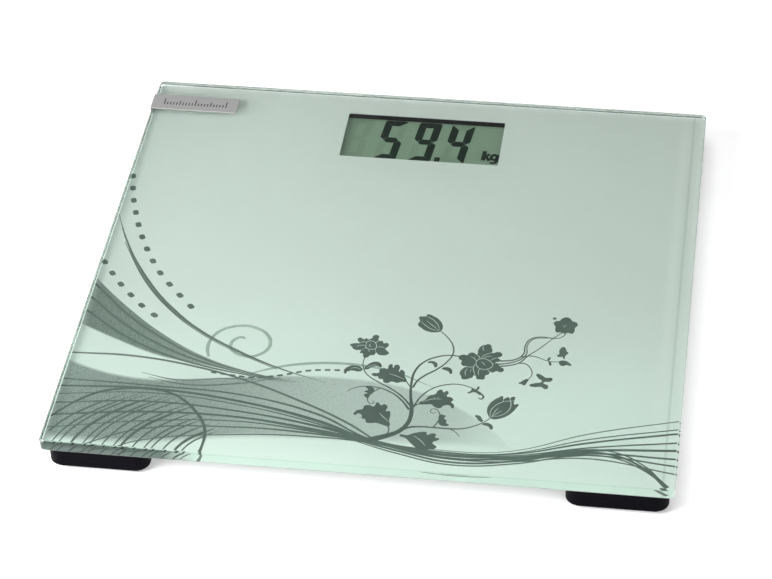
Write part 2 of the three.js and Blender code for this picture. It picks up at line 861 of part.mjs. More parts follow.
function buildElectronics() {
  const boardDepth = boardRear - boardFront;
  const boardY = (boardFront + boardRear) / 2;
  let board = block(0, boardY, 2 * boardHalfWidth, boardDepth, boardBottom, boardTop);
  for (const [name, x] of boardScrews) {
    board = board.subtract(
      disc(x, boardScrewY, boardShankRadius + 0.25, boardBottom - 1, boardTop + 1),
    );
    const head = boardBottom - glueLine;
    add(
      `board_screw_${name}`,
      disc(x, boardScrewY, 1.9, head - 1.3, head).add(
        disc(x, boardScrewY, boardShankRadius, head - 0.2, boardShankTop),
      ),
      screwFinish,
    );
  }
  add("main_board", board, boardFinish);

  const blobRadius = 6;
  const blobHeight = 1;
  const dome = Array.from({ length: 7 }, (_, i) => {
    const angle = (Math.PI / 2) * (i / 6);
    return new THREE.Vector2(blobRadius * Math.cos(angle), blobHeight * Math.sin(angle));
  });
  dome[6].x = 0;
  const blob = new THREE.LatheGeometry([new THREE.Vector2(0, 0), ...dome], roundSides);
  blob.rotateX(Math.PI / 2).translate(8, boardY, boardTop + glueLine);
  add("chip_blob", solidOf(blob), blobFinish);

  // a foil ribbon from the LCD's lower face, under the pocket wall, to the board
  const lcdFront = windowY - lcdDepth / 2;
  const dip = lcdBottom - 0.3;
  const lift = boardBottom - 0.2;
  const ribbon = [
    [lcdFront + 3, lcdBottom - 0.2],
    [lcdFront, dip],
    [boardRear, dip],
    [boardRear - 0.9, lift],
    [boardRear - 2.6, lift],
  ];
  const ribbonLeft = coinX + wellRadius + wellWall + 3;
  add(
    "lcd_ribbon",
    stripAlongX(ribbon, 0.15, ribbonLeft, windowWidth / 2 - 10),
    ribbonFinish,
  );

  const coin = disc(coinX, coinY, coinDiameter / 2, coinBottom, coinTop, 40);
  add("coin_cell", coin, coinFinish);

  // the spring leaf under the board that touches the top of the coin cell
  const leafTop = boardBottom - glueLine - 0.2;
  const leaf = [
    [coinY + 4, leafTop],
    [coinY + 1.5, leafTop],
    [coinY - 4, coinTop + glueLine],
    [coinY - 6, coinTop + glueLine],
  ];
  add("battery_contact_minus", stripAlongX(leaf, 0.2, coinX - 2.5, coinX + 2.5), contactFinish);

  // the upright blade beside the coin cell, with a foot on the board
  const bladeX = coinX + coinDiameter / 2 + 0.08;
  const blade = box(
    bladeX,
    bladeX + 0.3,
    coinY - 3,
    coinY + 3,
    coinBottom + 0.3,
    boardBottom - glueLine,
  ).add(
    box(
      bladeX,
      bladeX + 4,
      coinY - 3,
      coinY + 3,
      boardBottom - glueLine - 0.3,
      boardBottom - glueLine,
    ),
  );
  add("battery_contact_plus", blade, contactFinish);

  // the unit button, the plunger that it lifts, and the switch on the board
  const flangeBottom = coverFloorTop + 0.05;
  const flangeTop = flangeBottom + 0.55;
  const button = disc(switchX, coinY, buttonRadius, coverBottom + 0.2, flangeTop).add(
    disc(switchX, coinY, buttonRadius + 1, flangeBottom, flangeTop),
  );
  add("unit_button", button, blackPlastic);
  const plungerBottom = flangeTop + glueLine;
  const switchBottom = flangeTop + buttonTravel + 0.1;
  const plungerRadius = 1.7;
  add(
    "switch_plunger",
    disc(switchX, coinY, plungerRadius, plungerBottom, switchBottom + 0.5),
    gaugeFinish,
  );
  const switchBody = block(
    switchX,
    coinY,
    switchSide,
    switchSide,
    switchBottom,
    boardBottom - glueLine,
  ).subtract(
    disc(
      switchX,
      coinY,
      plungerRadius + 0.2,
      switchBottom - 1,
      switchBottom + 0.5 + buttonTravel + 0.2,
    ),
  );
  add("unit_switch", switchBody, sensorSteel);
}

buildPlatform();
buildFeet();
buildWiring();
buildCase();
buildElectronics();

export default scale;
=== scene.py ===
import json
import math

import bmesh
import bpy
from mathutils import Matrix, Vector


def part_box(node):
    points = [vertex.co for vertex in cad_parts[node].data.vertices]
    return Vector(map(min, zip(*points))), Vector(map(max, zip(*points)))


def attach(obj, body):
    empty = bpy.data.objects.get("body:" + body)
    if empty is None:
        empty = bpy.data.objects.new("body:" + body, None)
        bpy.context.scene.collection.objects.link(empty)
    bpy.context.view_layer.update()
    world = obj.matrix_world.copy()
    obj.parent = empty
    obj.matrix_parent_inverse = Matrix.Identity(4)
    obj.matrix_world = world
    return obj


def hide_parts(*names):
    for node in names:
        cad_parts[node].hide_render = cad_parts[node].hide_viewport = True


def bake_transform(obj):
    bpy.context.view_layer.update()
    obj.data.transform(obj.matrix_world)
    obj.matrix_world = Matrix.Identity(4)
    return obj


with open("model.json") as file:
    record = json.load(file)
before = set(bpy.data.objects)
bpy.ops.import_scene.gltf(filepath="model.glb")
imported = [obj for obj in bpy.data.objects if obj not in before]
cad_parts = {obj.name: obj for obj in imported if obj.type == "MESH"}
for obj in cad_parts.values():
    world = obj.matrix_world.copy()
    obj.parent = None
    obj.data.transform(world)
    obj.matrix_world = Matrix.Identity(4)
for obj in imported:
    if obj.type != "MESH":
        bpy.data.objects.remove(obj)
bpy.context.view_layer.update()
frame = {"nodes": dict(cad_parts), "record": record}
nodes = frame["nodes"]
slot_of = {part["node"]: part["material_slot"] for part in frame["record"]["subparts"]}

MM = 0.001
BODY = "scale_body"
FEET = ("front_l", "front_r", "rear_l", "rear_r")


# ---------------------------------------------------------------- node materials
class Value:
    """A shader socket that can be used in sums, so that maths reads as maths."""

    def __init__(self, finish, socket):
        self.finish = finish
        self.socket = socket

    def _math(self, operation, *others):
        inputs = {i: v for i, v in enumerate((self, *others))}
        return self.finish.node("ShaderNodeMath", {"operation": operation}, inputs)[0]

    def _from(self, operation, first):
        inputs = {0: first, 1: self}
        return self.finish.node("ShaderNodeMath", {"operation": operation}, inputs)[0]

    def __add__(self, other):
        return self._math("ADD", other)

    def __radd__(self, other):
        return self._from("ADD", other)

    def __sub__(self, other):
        return self._math("SUBTRACT", other)

    def __rsub__(self, other):
        return self._from("SUBTRACT", other)

    def __mul__(self, other):
        return self._math("MULTIPLY", other)

    def __rmul__(self, other):
        return self._from("MULTIPLY", other)

    def __truediv__(self, other):
        return self._math("DIVIDE", other)

    def __gt__(self, other):
        return self._math("GREATER_THAN", other)

    def __lt__(self, other):
        return self._math("LESS_THAN", other)

    def rise(self, low, high):
        """0 below low and 1 above high, with a soft step between."""
        settings = {"interpolation_type": "SMOOTHSTEP", "clamp": True}
        inputs = {0: self, 1: low, 2: high, 3: 0.0, 4: 1.0}
        return self.finish.node("ShaderNodeMapRange", settings, inputs)[0]


class Finish:
    """A material whose Principled shader is fed by named inputs."""

    def __init__(self, name, colour, roughness, metallic=0.0, **more):
        self.material = bpy.data.materials.new(name)
        self.material.use_nodes = True
        self.tree = self.material.node_tree
        self.shader = self.tree.nodes["Principled BSDF"]
        self.output = self.tree.nodes["Material Output"]
        self.set("Base Color", colour)
        self.set("Roughness", roughness)
        self.set("Metallic", metallic)
        for socket, value in more.items():
            self.set(socket.replace("_", " ").title().replace("Ior", "IOR"), value)
        self.place = self.node("ShaderNodeTexCoord", {}, {}, "Object")

    def set(self, socket, value):
        self._feed(self.shader.inputs[socket], value)

    def _feed(self, socket, value):
        if isinstance(value, Value):
            self.tree.links.new(value.socket, socket)
            return
        if isinstance(value, (tuple, list)) and len(value) == 3 and socket.type == "RGBA":
            value = (*value, 1.0)
        socket.default_value = value

    def node(self, kind, settings, inputs, output=None):
        made = self.tree.nodes.new(kind)
        for key, value in settings.items():
            if key == "curve":
                points = made.mapping.curves[0].points
                while len(points) < len(value):
                    points.new(0.5, 0.5)
                for point, (x, y) in zip(points, value):
                    point.location = (x, y)
                made.mapping.update()
            else:
                setattr(made, key, value)
        for key, value in inputs.items():
            self._feed(made.inputs[key], value)
        if output is not None:
            return Value(self, made.outputs[output])
        return [Value(self, socket) for socket in made.outputs]

    def axes(self):
        """Object coordinates in millimetres."""
        x, y, z = self.node("ShaderNodeSeparateXYZ", {}, {0: self.place})
        return x * 1000, y * 1000, z * 1000

    def noise(self, size_mm, detail=3.0, stretch=(1, 1, 1), roughness=0.5):
        scaled = self.node(
            "ShaderNodeMapping", {}, {"Vector": self.place, "Scale": Vector(stretch)}, 0
        )
        inputs = {"Vector": scaled, "Scale": 1 / (size_mm * MM)}
        inputs.update({"Detail": detail, "Roughness": roughness})
        return self.node("ShaderNodeTexNoise", {}, inputs, 0)

    def cells(self, size_mm, settings=None):
        inputs = {"Vector": self.place, "Scale": 1 / (size_mm * MM)}
        return self.node("ShaderNodeTexVoronoi", settings or {}, inputs, 0)

    def mix(self, factor, first, second):
        settings = {"data_type": "RGBA"}
        return self.node(
            "ShaderNodeMix", settings, {0: factor, 6: first, 7: second}, 2
        )

    def bump(self, height, distance_mm, strength=1.0):
        inputs = {"Height": height, "Distance": distance_mm * MM, "Strength": strength}
        self.set("Normal", self.node("ShaderNodeBump", {}, inputs, 0))


def srgb(red, green, blue):
    def linear(value):
        value /= 255
        return value / 12.92 if value <= 0.04045 else ((value + 0.055) / 1.055) ** 2.4

    return (linear(red), linear(green), linear(blue))


def moulded(name, colour, roughness, grain_mm, depth_mm, shine=0.35):
    """Moulded plastic or rubber: fine spark-erosion grain, with patches of wear in its gloss."""
    finish = Finish(name, colour, roughness, specular_ior_level=shine)
    grain = finish.noise(grain_mm, 2.0)
    patches = finish.noise(9.0, 3.0)
    finish.set("Roughness", roughness - 0.1 + patches * 0.2)
    lighter = tuple(min(1, c * 1.15 + 0.0004) for c in colour)
    finish.set("Base Color", finish.mix(patches.rise(0.35, 0.75), colour, lighter))
    finish.bump(grain, depth_mm)
    return finish.material


def brushed(name, colour, roughness, along="x", metal=1.0):
    """Sheet metal with a fine brushed grain along one axis."""
    finish = Finish(name, colour, roughness, metal)
    stretch = {"x": (0.02, 1, 1), "y": (1, 0.02, 1), "none": (1, 1, 1)}[along]
    lines = finish.noise(0.16, 4.0, stretch, 0.65)
    cloud = finish.noise(6.0, 2.0)
    darker = tuple(c * 0.78 for c in colour)
    finish.set("Base Color", finish.mix(lines, darker, colour))
    finish.set("Roughness", roughness - 0.08 + lines * 0.12 + cloud * 0.08)
    finish.bump(lines, 0.01, 0.35)
    return finish.material


# ---------------------------------------------------------------- glass and printed film
glass_low, glass_high = (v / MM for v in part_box("glass_platform"))
film_low, film_high = (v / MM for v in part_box("decor_film"))
lcd_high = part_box("lcd_panel")[1] / MM

# in millimetres: the display window, the ground edge of the glass, the softness of a seam,
# and how far out the print reaches on each side
WINDOW_X = 42.5
WINDOW_Y = (94.9, 133.9)
GROUND_EDGE = 0.5
SEAM = 0.01
PRINT_X = 148.8


def between(value, low, high, soft):
    return value.rise(low - soft, low + soft) * (1 - value.rise(high - soft, high + soft))


def glass_material():
    """Clear glass whose ground edges carry painted shade: the front face darker, near black at its left
    end, and the rear and left faces near black. It is bonded to the film wherever the film backs it.
    """
    finish = Finish(
        "float_glass",
        (0.985, 1.0, 0.992),
        0.0,
        ior=1.52,
        transmission_weight=1.0,
    )
    x, y, z = finish.axes()
    lower = z < glass_low.z + 0.02
    over_film = between(x, film_low.x, film_high.x, SEAM) * between(
        y, film_low.y, film_high.y, SEAM
    )
    front = y < glass_low.y + GROUND_EDGE
    back_or_left = (y > glass_high.y - GROUND_EDGE) + (x < glass_low.x + GROUND_EDGE)
    # painted shade: the front ground face is darker than the top
    front_face_shade = finish.mix(front, (0.985, 1.0, 0.992), (0.74, 0.87, 0.8))
    finish.set("Roughness", back_or_left * 0.32)
    # painted shade: the left end of the front face and the rear and left faces are painted near black
    dark = front * (1 - x.rise(-92, -70)) + back_or_left
    finish.set("Base Color", finish.mix(dark, front_face_shade, (0.02, 0.045, 0.035)))
    window = between(x, -WINDOW_X, WINDOW_X, SEAM) * between(y, *WINDOW_Y, SEAM)
    bonded = lower * over_film * (1 - window)
    clear = finish.node("ShaderNodeBsdfTransparent", {}, {}, 0)
    both = finish.node(
        "ShaderNodeMixShader",
        {},
        {0: bonded, 1: Value(finish, finish.shader.outputs[0]), 2: clear},
        0,
    )
    finish.tree.links.new(both.socket, finish.output.inputs["Surface"])
    green = finish.node(
        "ShaderNodeVolumeAbsorption", {}, {"Color": (0.62, 0.9, 0.78), "Density": 9.0}, 0
    )
    finish.tree.links.new(green.socket, finish.output.inputs["Volume"])
    return finish.material


def wash(finish, x, y, upper, lower, soft):
    """A soft-edged area between two edges, each a list of (x, y) in millimetres."""
    x0, x1 = upper[0][0], upper[-1][0]
    base, span = -150.0, 160.0

    def height(points):
        curve = [((px - x0) / (x1 - x0), (py - base) / span) for px, py in points]
        along = (x - x0) / (x1 - x0)
        inputs = {"Value": along}
        return finish.node("ShaderNodeFloatCurve", {"curve": curve}, inputs, 0) * span + base

    below_top = (height(upper) - y).rise(0.0, soft[0])
    above_bottom = (y - height(lower)).rise(0.0, soft[1])
    ends = between(x, x0, x1, SEAM)
    return below_top * above_bottom * ends


# edges of the two misty washes, each a list of (x, y)
MIST_TOP = [(-150, -85), (-115, -95), (-80, -92), (-47, -86), (-15, -84), (18, -88), (53, -106),
            (75, -131)]
MIST_FOOT = [(-150, -145), (-112, -145), (-85, -141), (-60, -135.5), (-35, -133), (3, -131),
             (30, -130), (53, -129), (75, -131)]
RIBBON_TOP = [(-150, -21), (-128, -44), (-107, -62), (-85, -76), (-65, -84), (-43, -89.5)]
RIBBON_FOOT = [(-150, -59), (-128, -70), (-107, -79), (-85, -83.5), (-65, -86.5), (-43, -89.5)]
# width in millimetres of a painted pale rim of light along the film's edges
EDGE_LIGHT_RIM = 2.2


def film_material():
    """Pearl silver-green print with two misty washes in it, and a grey coat on its back; painted light
    makes it lighter towards the front and along its edges, with a painted highlight band and a painted
    shade line near the right edge.
    """
    pearl = srgb(229, 239, 233)
    finish = Finish("printed_film", pearl, 0.38, 0.0, specular_ior_level=0.35)
    x, y, z = finish.axes()
    flakes = finish.cells(0.22, {"feature": "F1"})
    cloud = finish.noise(60.0, 2.0)
    # painted light: the print is lighter towards the front and darker towards the back, with a cloudy
    # border
    depth = (y + cloud * 8).rise(-115, 8)
    tone = finish.mix(depth, srgb(235, 248, 240), srgb(226, 234, 228))
    tone = finish.mix(flakes * 0.08, tone, srgb(200, 216, 208))

    mist = wash(finish, x, y, MIST_TOP, MIST_FOOT, (3.0, 6.0))
    thinning = (0.34 + 0.4 * (1 - x.rise(-110, 20))) * (1 - 0.8 * x.rise(30, 76))
    dots = finish.cells(0.55, {"feature": "F1"}).rise(0.25, 0.75)
    mist = mist * thinning * (0.78 + 0.44 * dots)
    tone = finish.mix(mist, tone, srgb(99, 116, 110))

    ribbon = wash(finish, x, y, RIBBON_TOP, RIBBON_FOOT, (0.6, 1.6))
    ribbon = ribbon * (0.86 - 0.2 * x.rise(-120, -60)) * (0.85 + 0.3 * dots)
    tone = finish.mix(ribbon, tone, srgb(104, 122, 113))

    # painted light: a paler rim along every edge of the film, where light comes in through the glass
    # edges
    clear_of_edge_light = between(x, film_low.x + EDGE_LIGHT_RIM, film_high.x - EDGE_LIGHT_RIM, EDGE_LIGHT_RIM) * between(
        y, film_low.y + EDGE_LIGHT_RIM, film_high.y - EDGE_LIGHT_RIM, EDGE_LIGHT_RIM
    )
    tone = finish.mix((1 - clear_of_edge_light) * 0.4, tone, srgb(238, 246, 241))
    # painted highlight: a pale band near the right edge
    painted_edge_highlight = between(x, 137, 141.5, 2)
    tone = finish.mix(painted_edge_highlight * 0.35, tone, srgb(240, 248, 243))
    # painted shade: a thin darker line near the right edge
    painted_edge_shade_line = between(x, 143.4, 144.4, 0.5)
    tone = finish.mix(painted_edge_shade_line * 0.3, tone, srgb(160, 180, 170))

    back = z < (film_low.z + film_high.z) / 2
    finish.set("Base Color", finish.mix(back, tone, srgb(150, 158, 154)))
    return finish.material


# ---------------------------------------------------------------- ornament in flat ink
INK_Z = film_high.z + 0.014
INK_THICK = 0.008
VEIN_Z = film_high.z + 0.0245
CURL_Z = film_high.z + 0.008


def stroke_shape(name, strokes, flatness=0.004, z=None):
    """Ink lines of changing width. Each stroke is a list of (x, y, width) in millimetres."""
    curve = bpy.data.curves.new(name, "CURVE")
    curve.dimensions = "3D"
    curve.twist_mode = "Z_UP"
    curve.bevel_depth = 1.0
    curve.bevel_resolution = 1
    curve.use_fill_caps = True
    curve.resolution_u = 10
    for points in strokes:
        spline = curve.splines.new("BEZIER")
        spline.radius_interpolation = "EASE"
        spline.bezier_points.add(len(points) - 1)
        for knot, (x, y, width) in zip(spline.bezier_points, points):
            knot.co = (x, y, 0)
            knot.radius = width / 2
            knot.handle_left_type = knot.handle_right_type = "AUTO"
    return flat_piece(name, curve, flatness, z)


def filled_shape(name, outlines, smooth=True, z=None, thick=INK_THICK):
    """Flat filled shapes from closed outlines of (x, y) in millimetres."""
    curve = bpy.data.curves.new(name, "CURVE")
    curve.dimensions = "2D"
    curve.fill_mode = "BOTH"
    curve.extrude = thick / 2
    curve.resolution_u = 5
    for points in outlines:
        spline = curve.splines.new("BEZIER" if smooth else "POLY")
        knots = spline.bezier_points if smooth else spline.points
        knots.add(len(points) - 1)
        for knot, (x, y) in zip(knots, points):
            if smooth:
                knot.co = (x, y, 0)
                knot.handle_left_type = knot.handle_right_type = "AUTO"
            else:
                knot.co = (x, y, 0, 1)
        spline.use_cyclic_u = True
    return flat_piece(name, curve, 1.0, z)


def flat_piece(name, curve, flatness, z=None):
    """Makes a curve a mesh, flattens it and puts it on the film, in metres."""
    source = bpy.data.objects.new(name + "_curve", curve)
    bpy.context.scene.collection.objects.link(source)
    bpy.context.view_layer.update()
    depsgraph = bpy.context.evaluated_depsgraph_get()
    mesh = bpy.data.meshes.new_from_object(source.evaluated_get(depsgraph))
    bpy.data.objects.remove(source)
    bpy.data.curves.remove(curve)
    mesh.name = name
    level = INK_Z if z is None else z
    place = Matrix.Translation((0, 0, level * MM)) @ Matrix.Diagonal(
        (MM, MM, MM * flatness, 1)
    )
    shape = bmesh.new()
    shape.from_mesh(mesh)
    bmesh.ops.remove_doubles(shape, verts=shape.verts, dist=1e-4)
    bmesh.ops.recalc_face_normals(shape, faces=shape.faces)
    bmesh.ops.transform(shape, matrix=place, verts=shape.verts)
    shape.to_mesh(mesh)
    shape.free()
    piece = bpy.data.objects.new(name, mesh)
    bpy.context.scene.collection.objects.link(piece)
    return piece


def finish_piece(piece, material, body=BODY):
    piece.data.materials.clear()
    piece.data.materials.append(material)
    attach(piece, body)
    return piece


def turned(points, centre, angle):
    c, s = math.cos(angle), math.sin(angle)
    return [(centre[0] + x * c - y * s, centre[1] + x * s + y * c) for x, y in points]


def even_widths(points, width, tip=0.35):
    """Gives a line its width, thinner at both ends."""
    last = len(points) - 1
    return [
        (x, y, width * (tip if i in (0, last) else 1.0)) for i, (x, y) in enumerate(points)
    ]


# one row for each line: its y at x = -148.8, -105, -60 and -22, and its width
LEFT_OF_KNOT = [
    (-100.6, -101.2, -103.2, -113.0, 1.0),
    (-106.0, -103.4, -108.0, -117.5, 1.5),
    (-118.4, -112.8, -115.0, -121.2, 1.1),
    (-127.2, -120.4, -119.2, -124.0, 1.4),
    (-112.0, -106.5, -110.5, -119.4, 0.7),
    (-136.5, -127.0, -122.2, -125.4, 0.8),
    (-148.7, -133.0, -126.4, -126.8, 0.9),
    (-148.7, -141.5, -131.8, -129.0, 0.7),
]
# the same lines on the other side: y at x = 38, 70, 108 and 148.8, and width
RIGHT_OF_KNOT = [
    (-134.0, -131.5, -112.0, -98.6, 0.5),
    (-134.5, -133.0, -116.0, -104.5, 0.6),
    (-134.5, -133.5, -118.5, -107.5, 1.0),
    (-135.0, -134.5, -122.0, -114.0, 0.8),
    (-135.5, -135.5, -124.0, -119.5, 1.3),
    (-136.3, -137.3, -127.2, -130.4, 0.9),
    (-136.8, -138.6, -129.6, -135.8, 0.7),
    (-136.0, -136.5, -126.0, -125.5, 1.0),
]
KNOT = (6.0, -129.0)


def flow_lines():
    """Lines that gather at the foot of the flowers and fan out to both sides."""
    strokes = []
    middle = (len(LEFT_OF_KNOT) - 1) / 2
    at_edge = sum(row[0] > -148 for row in LEFT_OF_KNOT)
    for i, (left, right) in enumerate(zip(LEFT_OF_KNOT, RIGHT_OF_KNOT)):
        edge_left, far_left, mid_left, near_left, width = left
        near_right, mid_right, far_right, edge_right, right_width = right
        shift = (i - middle) * 0.27
        start_x = -PRINT_X + 16.0 * max(0, i - at_edge + 1)
        strokes.append(
            [
                (start_x, edge_left, width * 0.8),
                (-105.0, far_left, width),
                (-60.0, mid_left, width),
                (-22.0, near_left, width * 1.35),
                (KNOT[0], KNOT[1] - shift * 1.3, (width + right_width) * 0.6),
                (38.0, near_right + 1.0 - shift * 1.6, right_width * 0.95),
                (70.0, mid_right + 2.5, right_width * 0.9),
                (108.0, far_right, right_width * 1.2),
                (PRINT_X, edge_right, right_width * 1.2),
            ]
        )
    for drop, width, tip in ((0.0, 1.3, 2.4), (1.8, 0.9, 0.8), (-2.2, 0.8, 0.7)):
        strokes.append(
            [
                (-8.0, -127.0 - drop * 0.3, width * 0.6),
                (18.0, -134.0 - drop, width),
                (45.0, -139.3 - drop, width),
                (75.0, -135.0 - drop, width),
                (100.0, -127.0 - drop, width),
                (118.0, -125.5 - drop, width),
                (134.0, -133.0 - drop * 0.8, width),
                (146.0, -145.6, tip),
            ]
        )
    return strokes


def hatch_lines():
    """Curved strokes that fan out under a tall arc in the front left corner."""
    strokes = [
        [
            (-PRINT_X, -128.6, 0.9),
            (-143.6, -121.6, 1.3),
            (-137.0, -114.4, 1.5),
            (-128.0, -108.0, 1.5),
            (-115.0, -104.3, 1.4),
            (-104.0, -103.9, 1.2),
            (-95.0, -105.6, 1.5),
            (-87.0, -110.6, 1.5),
            (-80.0, -118.2, 1.5),
            (-75.2, -126.0, 1.5),
            (-73.2, -133.0, 1.6),
            (-73.0, -140.0, 1.3),
            (-73.8, -148.8, 1.8),
        ]
    ]
    path = [(0, -2.2, 0.6), (3.4, 7, 0.85), (9, 16, 1), (18.5, 25.5, 1), (32, 35.5, 0.3)]
    count, pitch, foot_y = 15, 4.95, -146.6
    for i in range(count):
        start = -151.0 + pitch * i + 0.9 * math.sin(2.1 * i)
        reach = min(1.08, 1.0 - 0.0155 * (start + 118.0))
        bold = 1.0 + 0.7 * (i % 5 == 3)
        stroke = [
            (start + across * reach, foot_y + up * reach, width * bold)
            for across, up, width in path
        ]
        strokes.append([knot for knot in stroke if knot[0] > -PRINT_X])
    return strokes


def sweep_lines():
    """The long tapering sweeps down from the left edge."""
    main = [
        (-PRINT_X, 31.0, 0.3),
        (-140.0, 9.0, 1.0),
        (-123.0, -22.0, 2.3),
        (-106.0, -43.0, 2.2),
        (-89.0, -58.0, 1.6),
        (-69.0, -70.5, 1.5),
        (-46.0, -81.5, 0.9),
        (-22.0, -89.6, 0.2),
    ]
    edge = [(x - 0.9, y - 0.9, 0.45) for x, y, _ in main[1:-1]]
    lines = [main, edge]
    for i in range(3):
        drop = 10.5 * i
        lines.append(
            [
                (-PRINT_X, -27.0 - drop, 1.2),
                (-129.0, -48.0 - drop * 0.75, 1.5),
                (-107.0, -65.5 - drop * 0.5, 1.4),
                (-82.0, -79.5 - drop * 0.22, 1.2),
                (-55.0, -87.5 - drop * 0.08, 0.8),
                (-36.0 - 3 * i, -90.8 - 0.3 * i, 0.2),
            ]
        )
    lines.append(even_widths([(-PRINT_X, -81.0), (-118.0, -80.3), (-85.0, -85.2), (-60.0, -92.5),
                              (-35.0, -103.0), (-8.0, -117.0), (8.0, -128.5)], 1.3, 0.8))
    lines.append(even_widths([(-112.0, -92.0), (-95.0, -95.5), (-70.0, -92.0), (-47.0, -90.5)], 0.8))
    lines.append(even_widths([(-108.0, -95.0), (-90.0, -98.5), (-66.0, -95.5), (-44.0, -88.5)], 0.9))
    return lines


def curl_lines():
    """The pale spiral and the long pale arc."""
    spiral = [(-81.7, -76.8), (-83.4, -70.1), (-82.7, -63.1), (-79.4, -56.6), (-74.1, -52.9),
              (-67.8, -51.4), (-61.0, -53.0), (-55.9, -57.0), (-53.4, -62.9), (-54.0, -68.3),
              (-57.0, -72.2), (-61.3, -74.4), (-65.4, -74.1), (-69.7, -72.0), (-72.1, -68.8),
              (-72.4, -65.1), (-70.9, -62.1), (-68.4, -60.4), (-66.2, -61.0)]
    arc = [(-62.0, -88.5, 0.5), (-46.0, -80.5, 1.5), (-30.0, -76.0, 1.7), (-12.0, -74.6, 1.7),
           (8.0, -77.5, 1.3), (31.0, -87.5, 0.3)]
    return [even_widths(spiral, 1.7, 0.7), arc]


def dashes():
    """Short dashes along three arcs: two bold, one fine."""
    tall_arc = [(-148.2, 64.6), (-143.6, 43.6), (-132.8, 13.0), (-117.8, -15.0), (-97.6, -39.4)]
    low_arc = [(-147.9, -9.0), (-136.6, -25.2), (-122.4, -41.2), (-114.4, -48.2)]
    fine_arc = [(-77.0, -88.2), (-58.0, -89.8), (-45.0, -86.8), (-30.0, -81.3), (-13.0, -79.4)]
    runs = ((tall_arc, 12, 4.1, 3.0), (low_arc, 6, 4.1, 2.9), (fine_arc, 15, 2.9, 1.35))
    outlines = []
    for path, count, length, width in runs:
        for (x, y), angle in spaced(path, count):
            a, b, r = length / 2, width / 2, width * 0.26
            dash = [(-a + r, -b), (a - r, -b), (a, -b + r), (a, b - r), (a - r, b), (-a + r, b),
                    (-a, b - r), (-a, -b + r)]
            outlines.append(turned(dash, (x, y), angle))
    return outlines


def spaced(path, count):
    """Evenly spaced places along a smooth path, each with its heading."""
    dense = []
    for i in range(len(path) - 1):
        before = path[max(i - 1, 0)]
        after = path[min(i + 2, len(path) - 1)]
        for k in range(20):
            dense.append(between_points(before, path[i], path[i + 1], after, k / 20))
    dense.append(path[-1])
    lengths = [0.0]
    for p, q in zip(dense, dense[1:]):
        lengths.append(lengths[-1] + math.dist(p, q))
    spots = []
    for i in range(count):
        wanted = lengths[-1] * i / (count - 1)
        k = max(j for j, run in enumerate(lengths[:-1]) if run <= wanted + 1e-9)
        t = (wanted - lengths[k]) / max(lengths[k + 1] - lengths[k], 1e-9)
        p, q = dense[k], dense[k + 1]
        place = (p[0] + (q[0] - p[0]) * t, p[1] + (q[1] - p[1]) * t)
        spots.append((place, math.atan2(q[1] - p[1], q[0] - p[0])))
    return spots


def between_points(before, start, end, after, t):
    """A Catmull-Rom step from start to end."""
    place = []
    for b, p, q, a in zip(before, start, end, after):
        place.append(
            0.5 * (2 * p + (q - b) * t + (2 * b - 5 * p + 4 * q - a) * t * t
                   + (3 * p - b - 3 * q + a) * t ** 3)
        )
    return tuple(place)


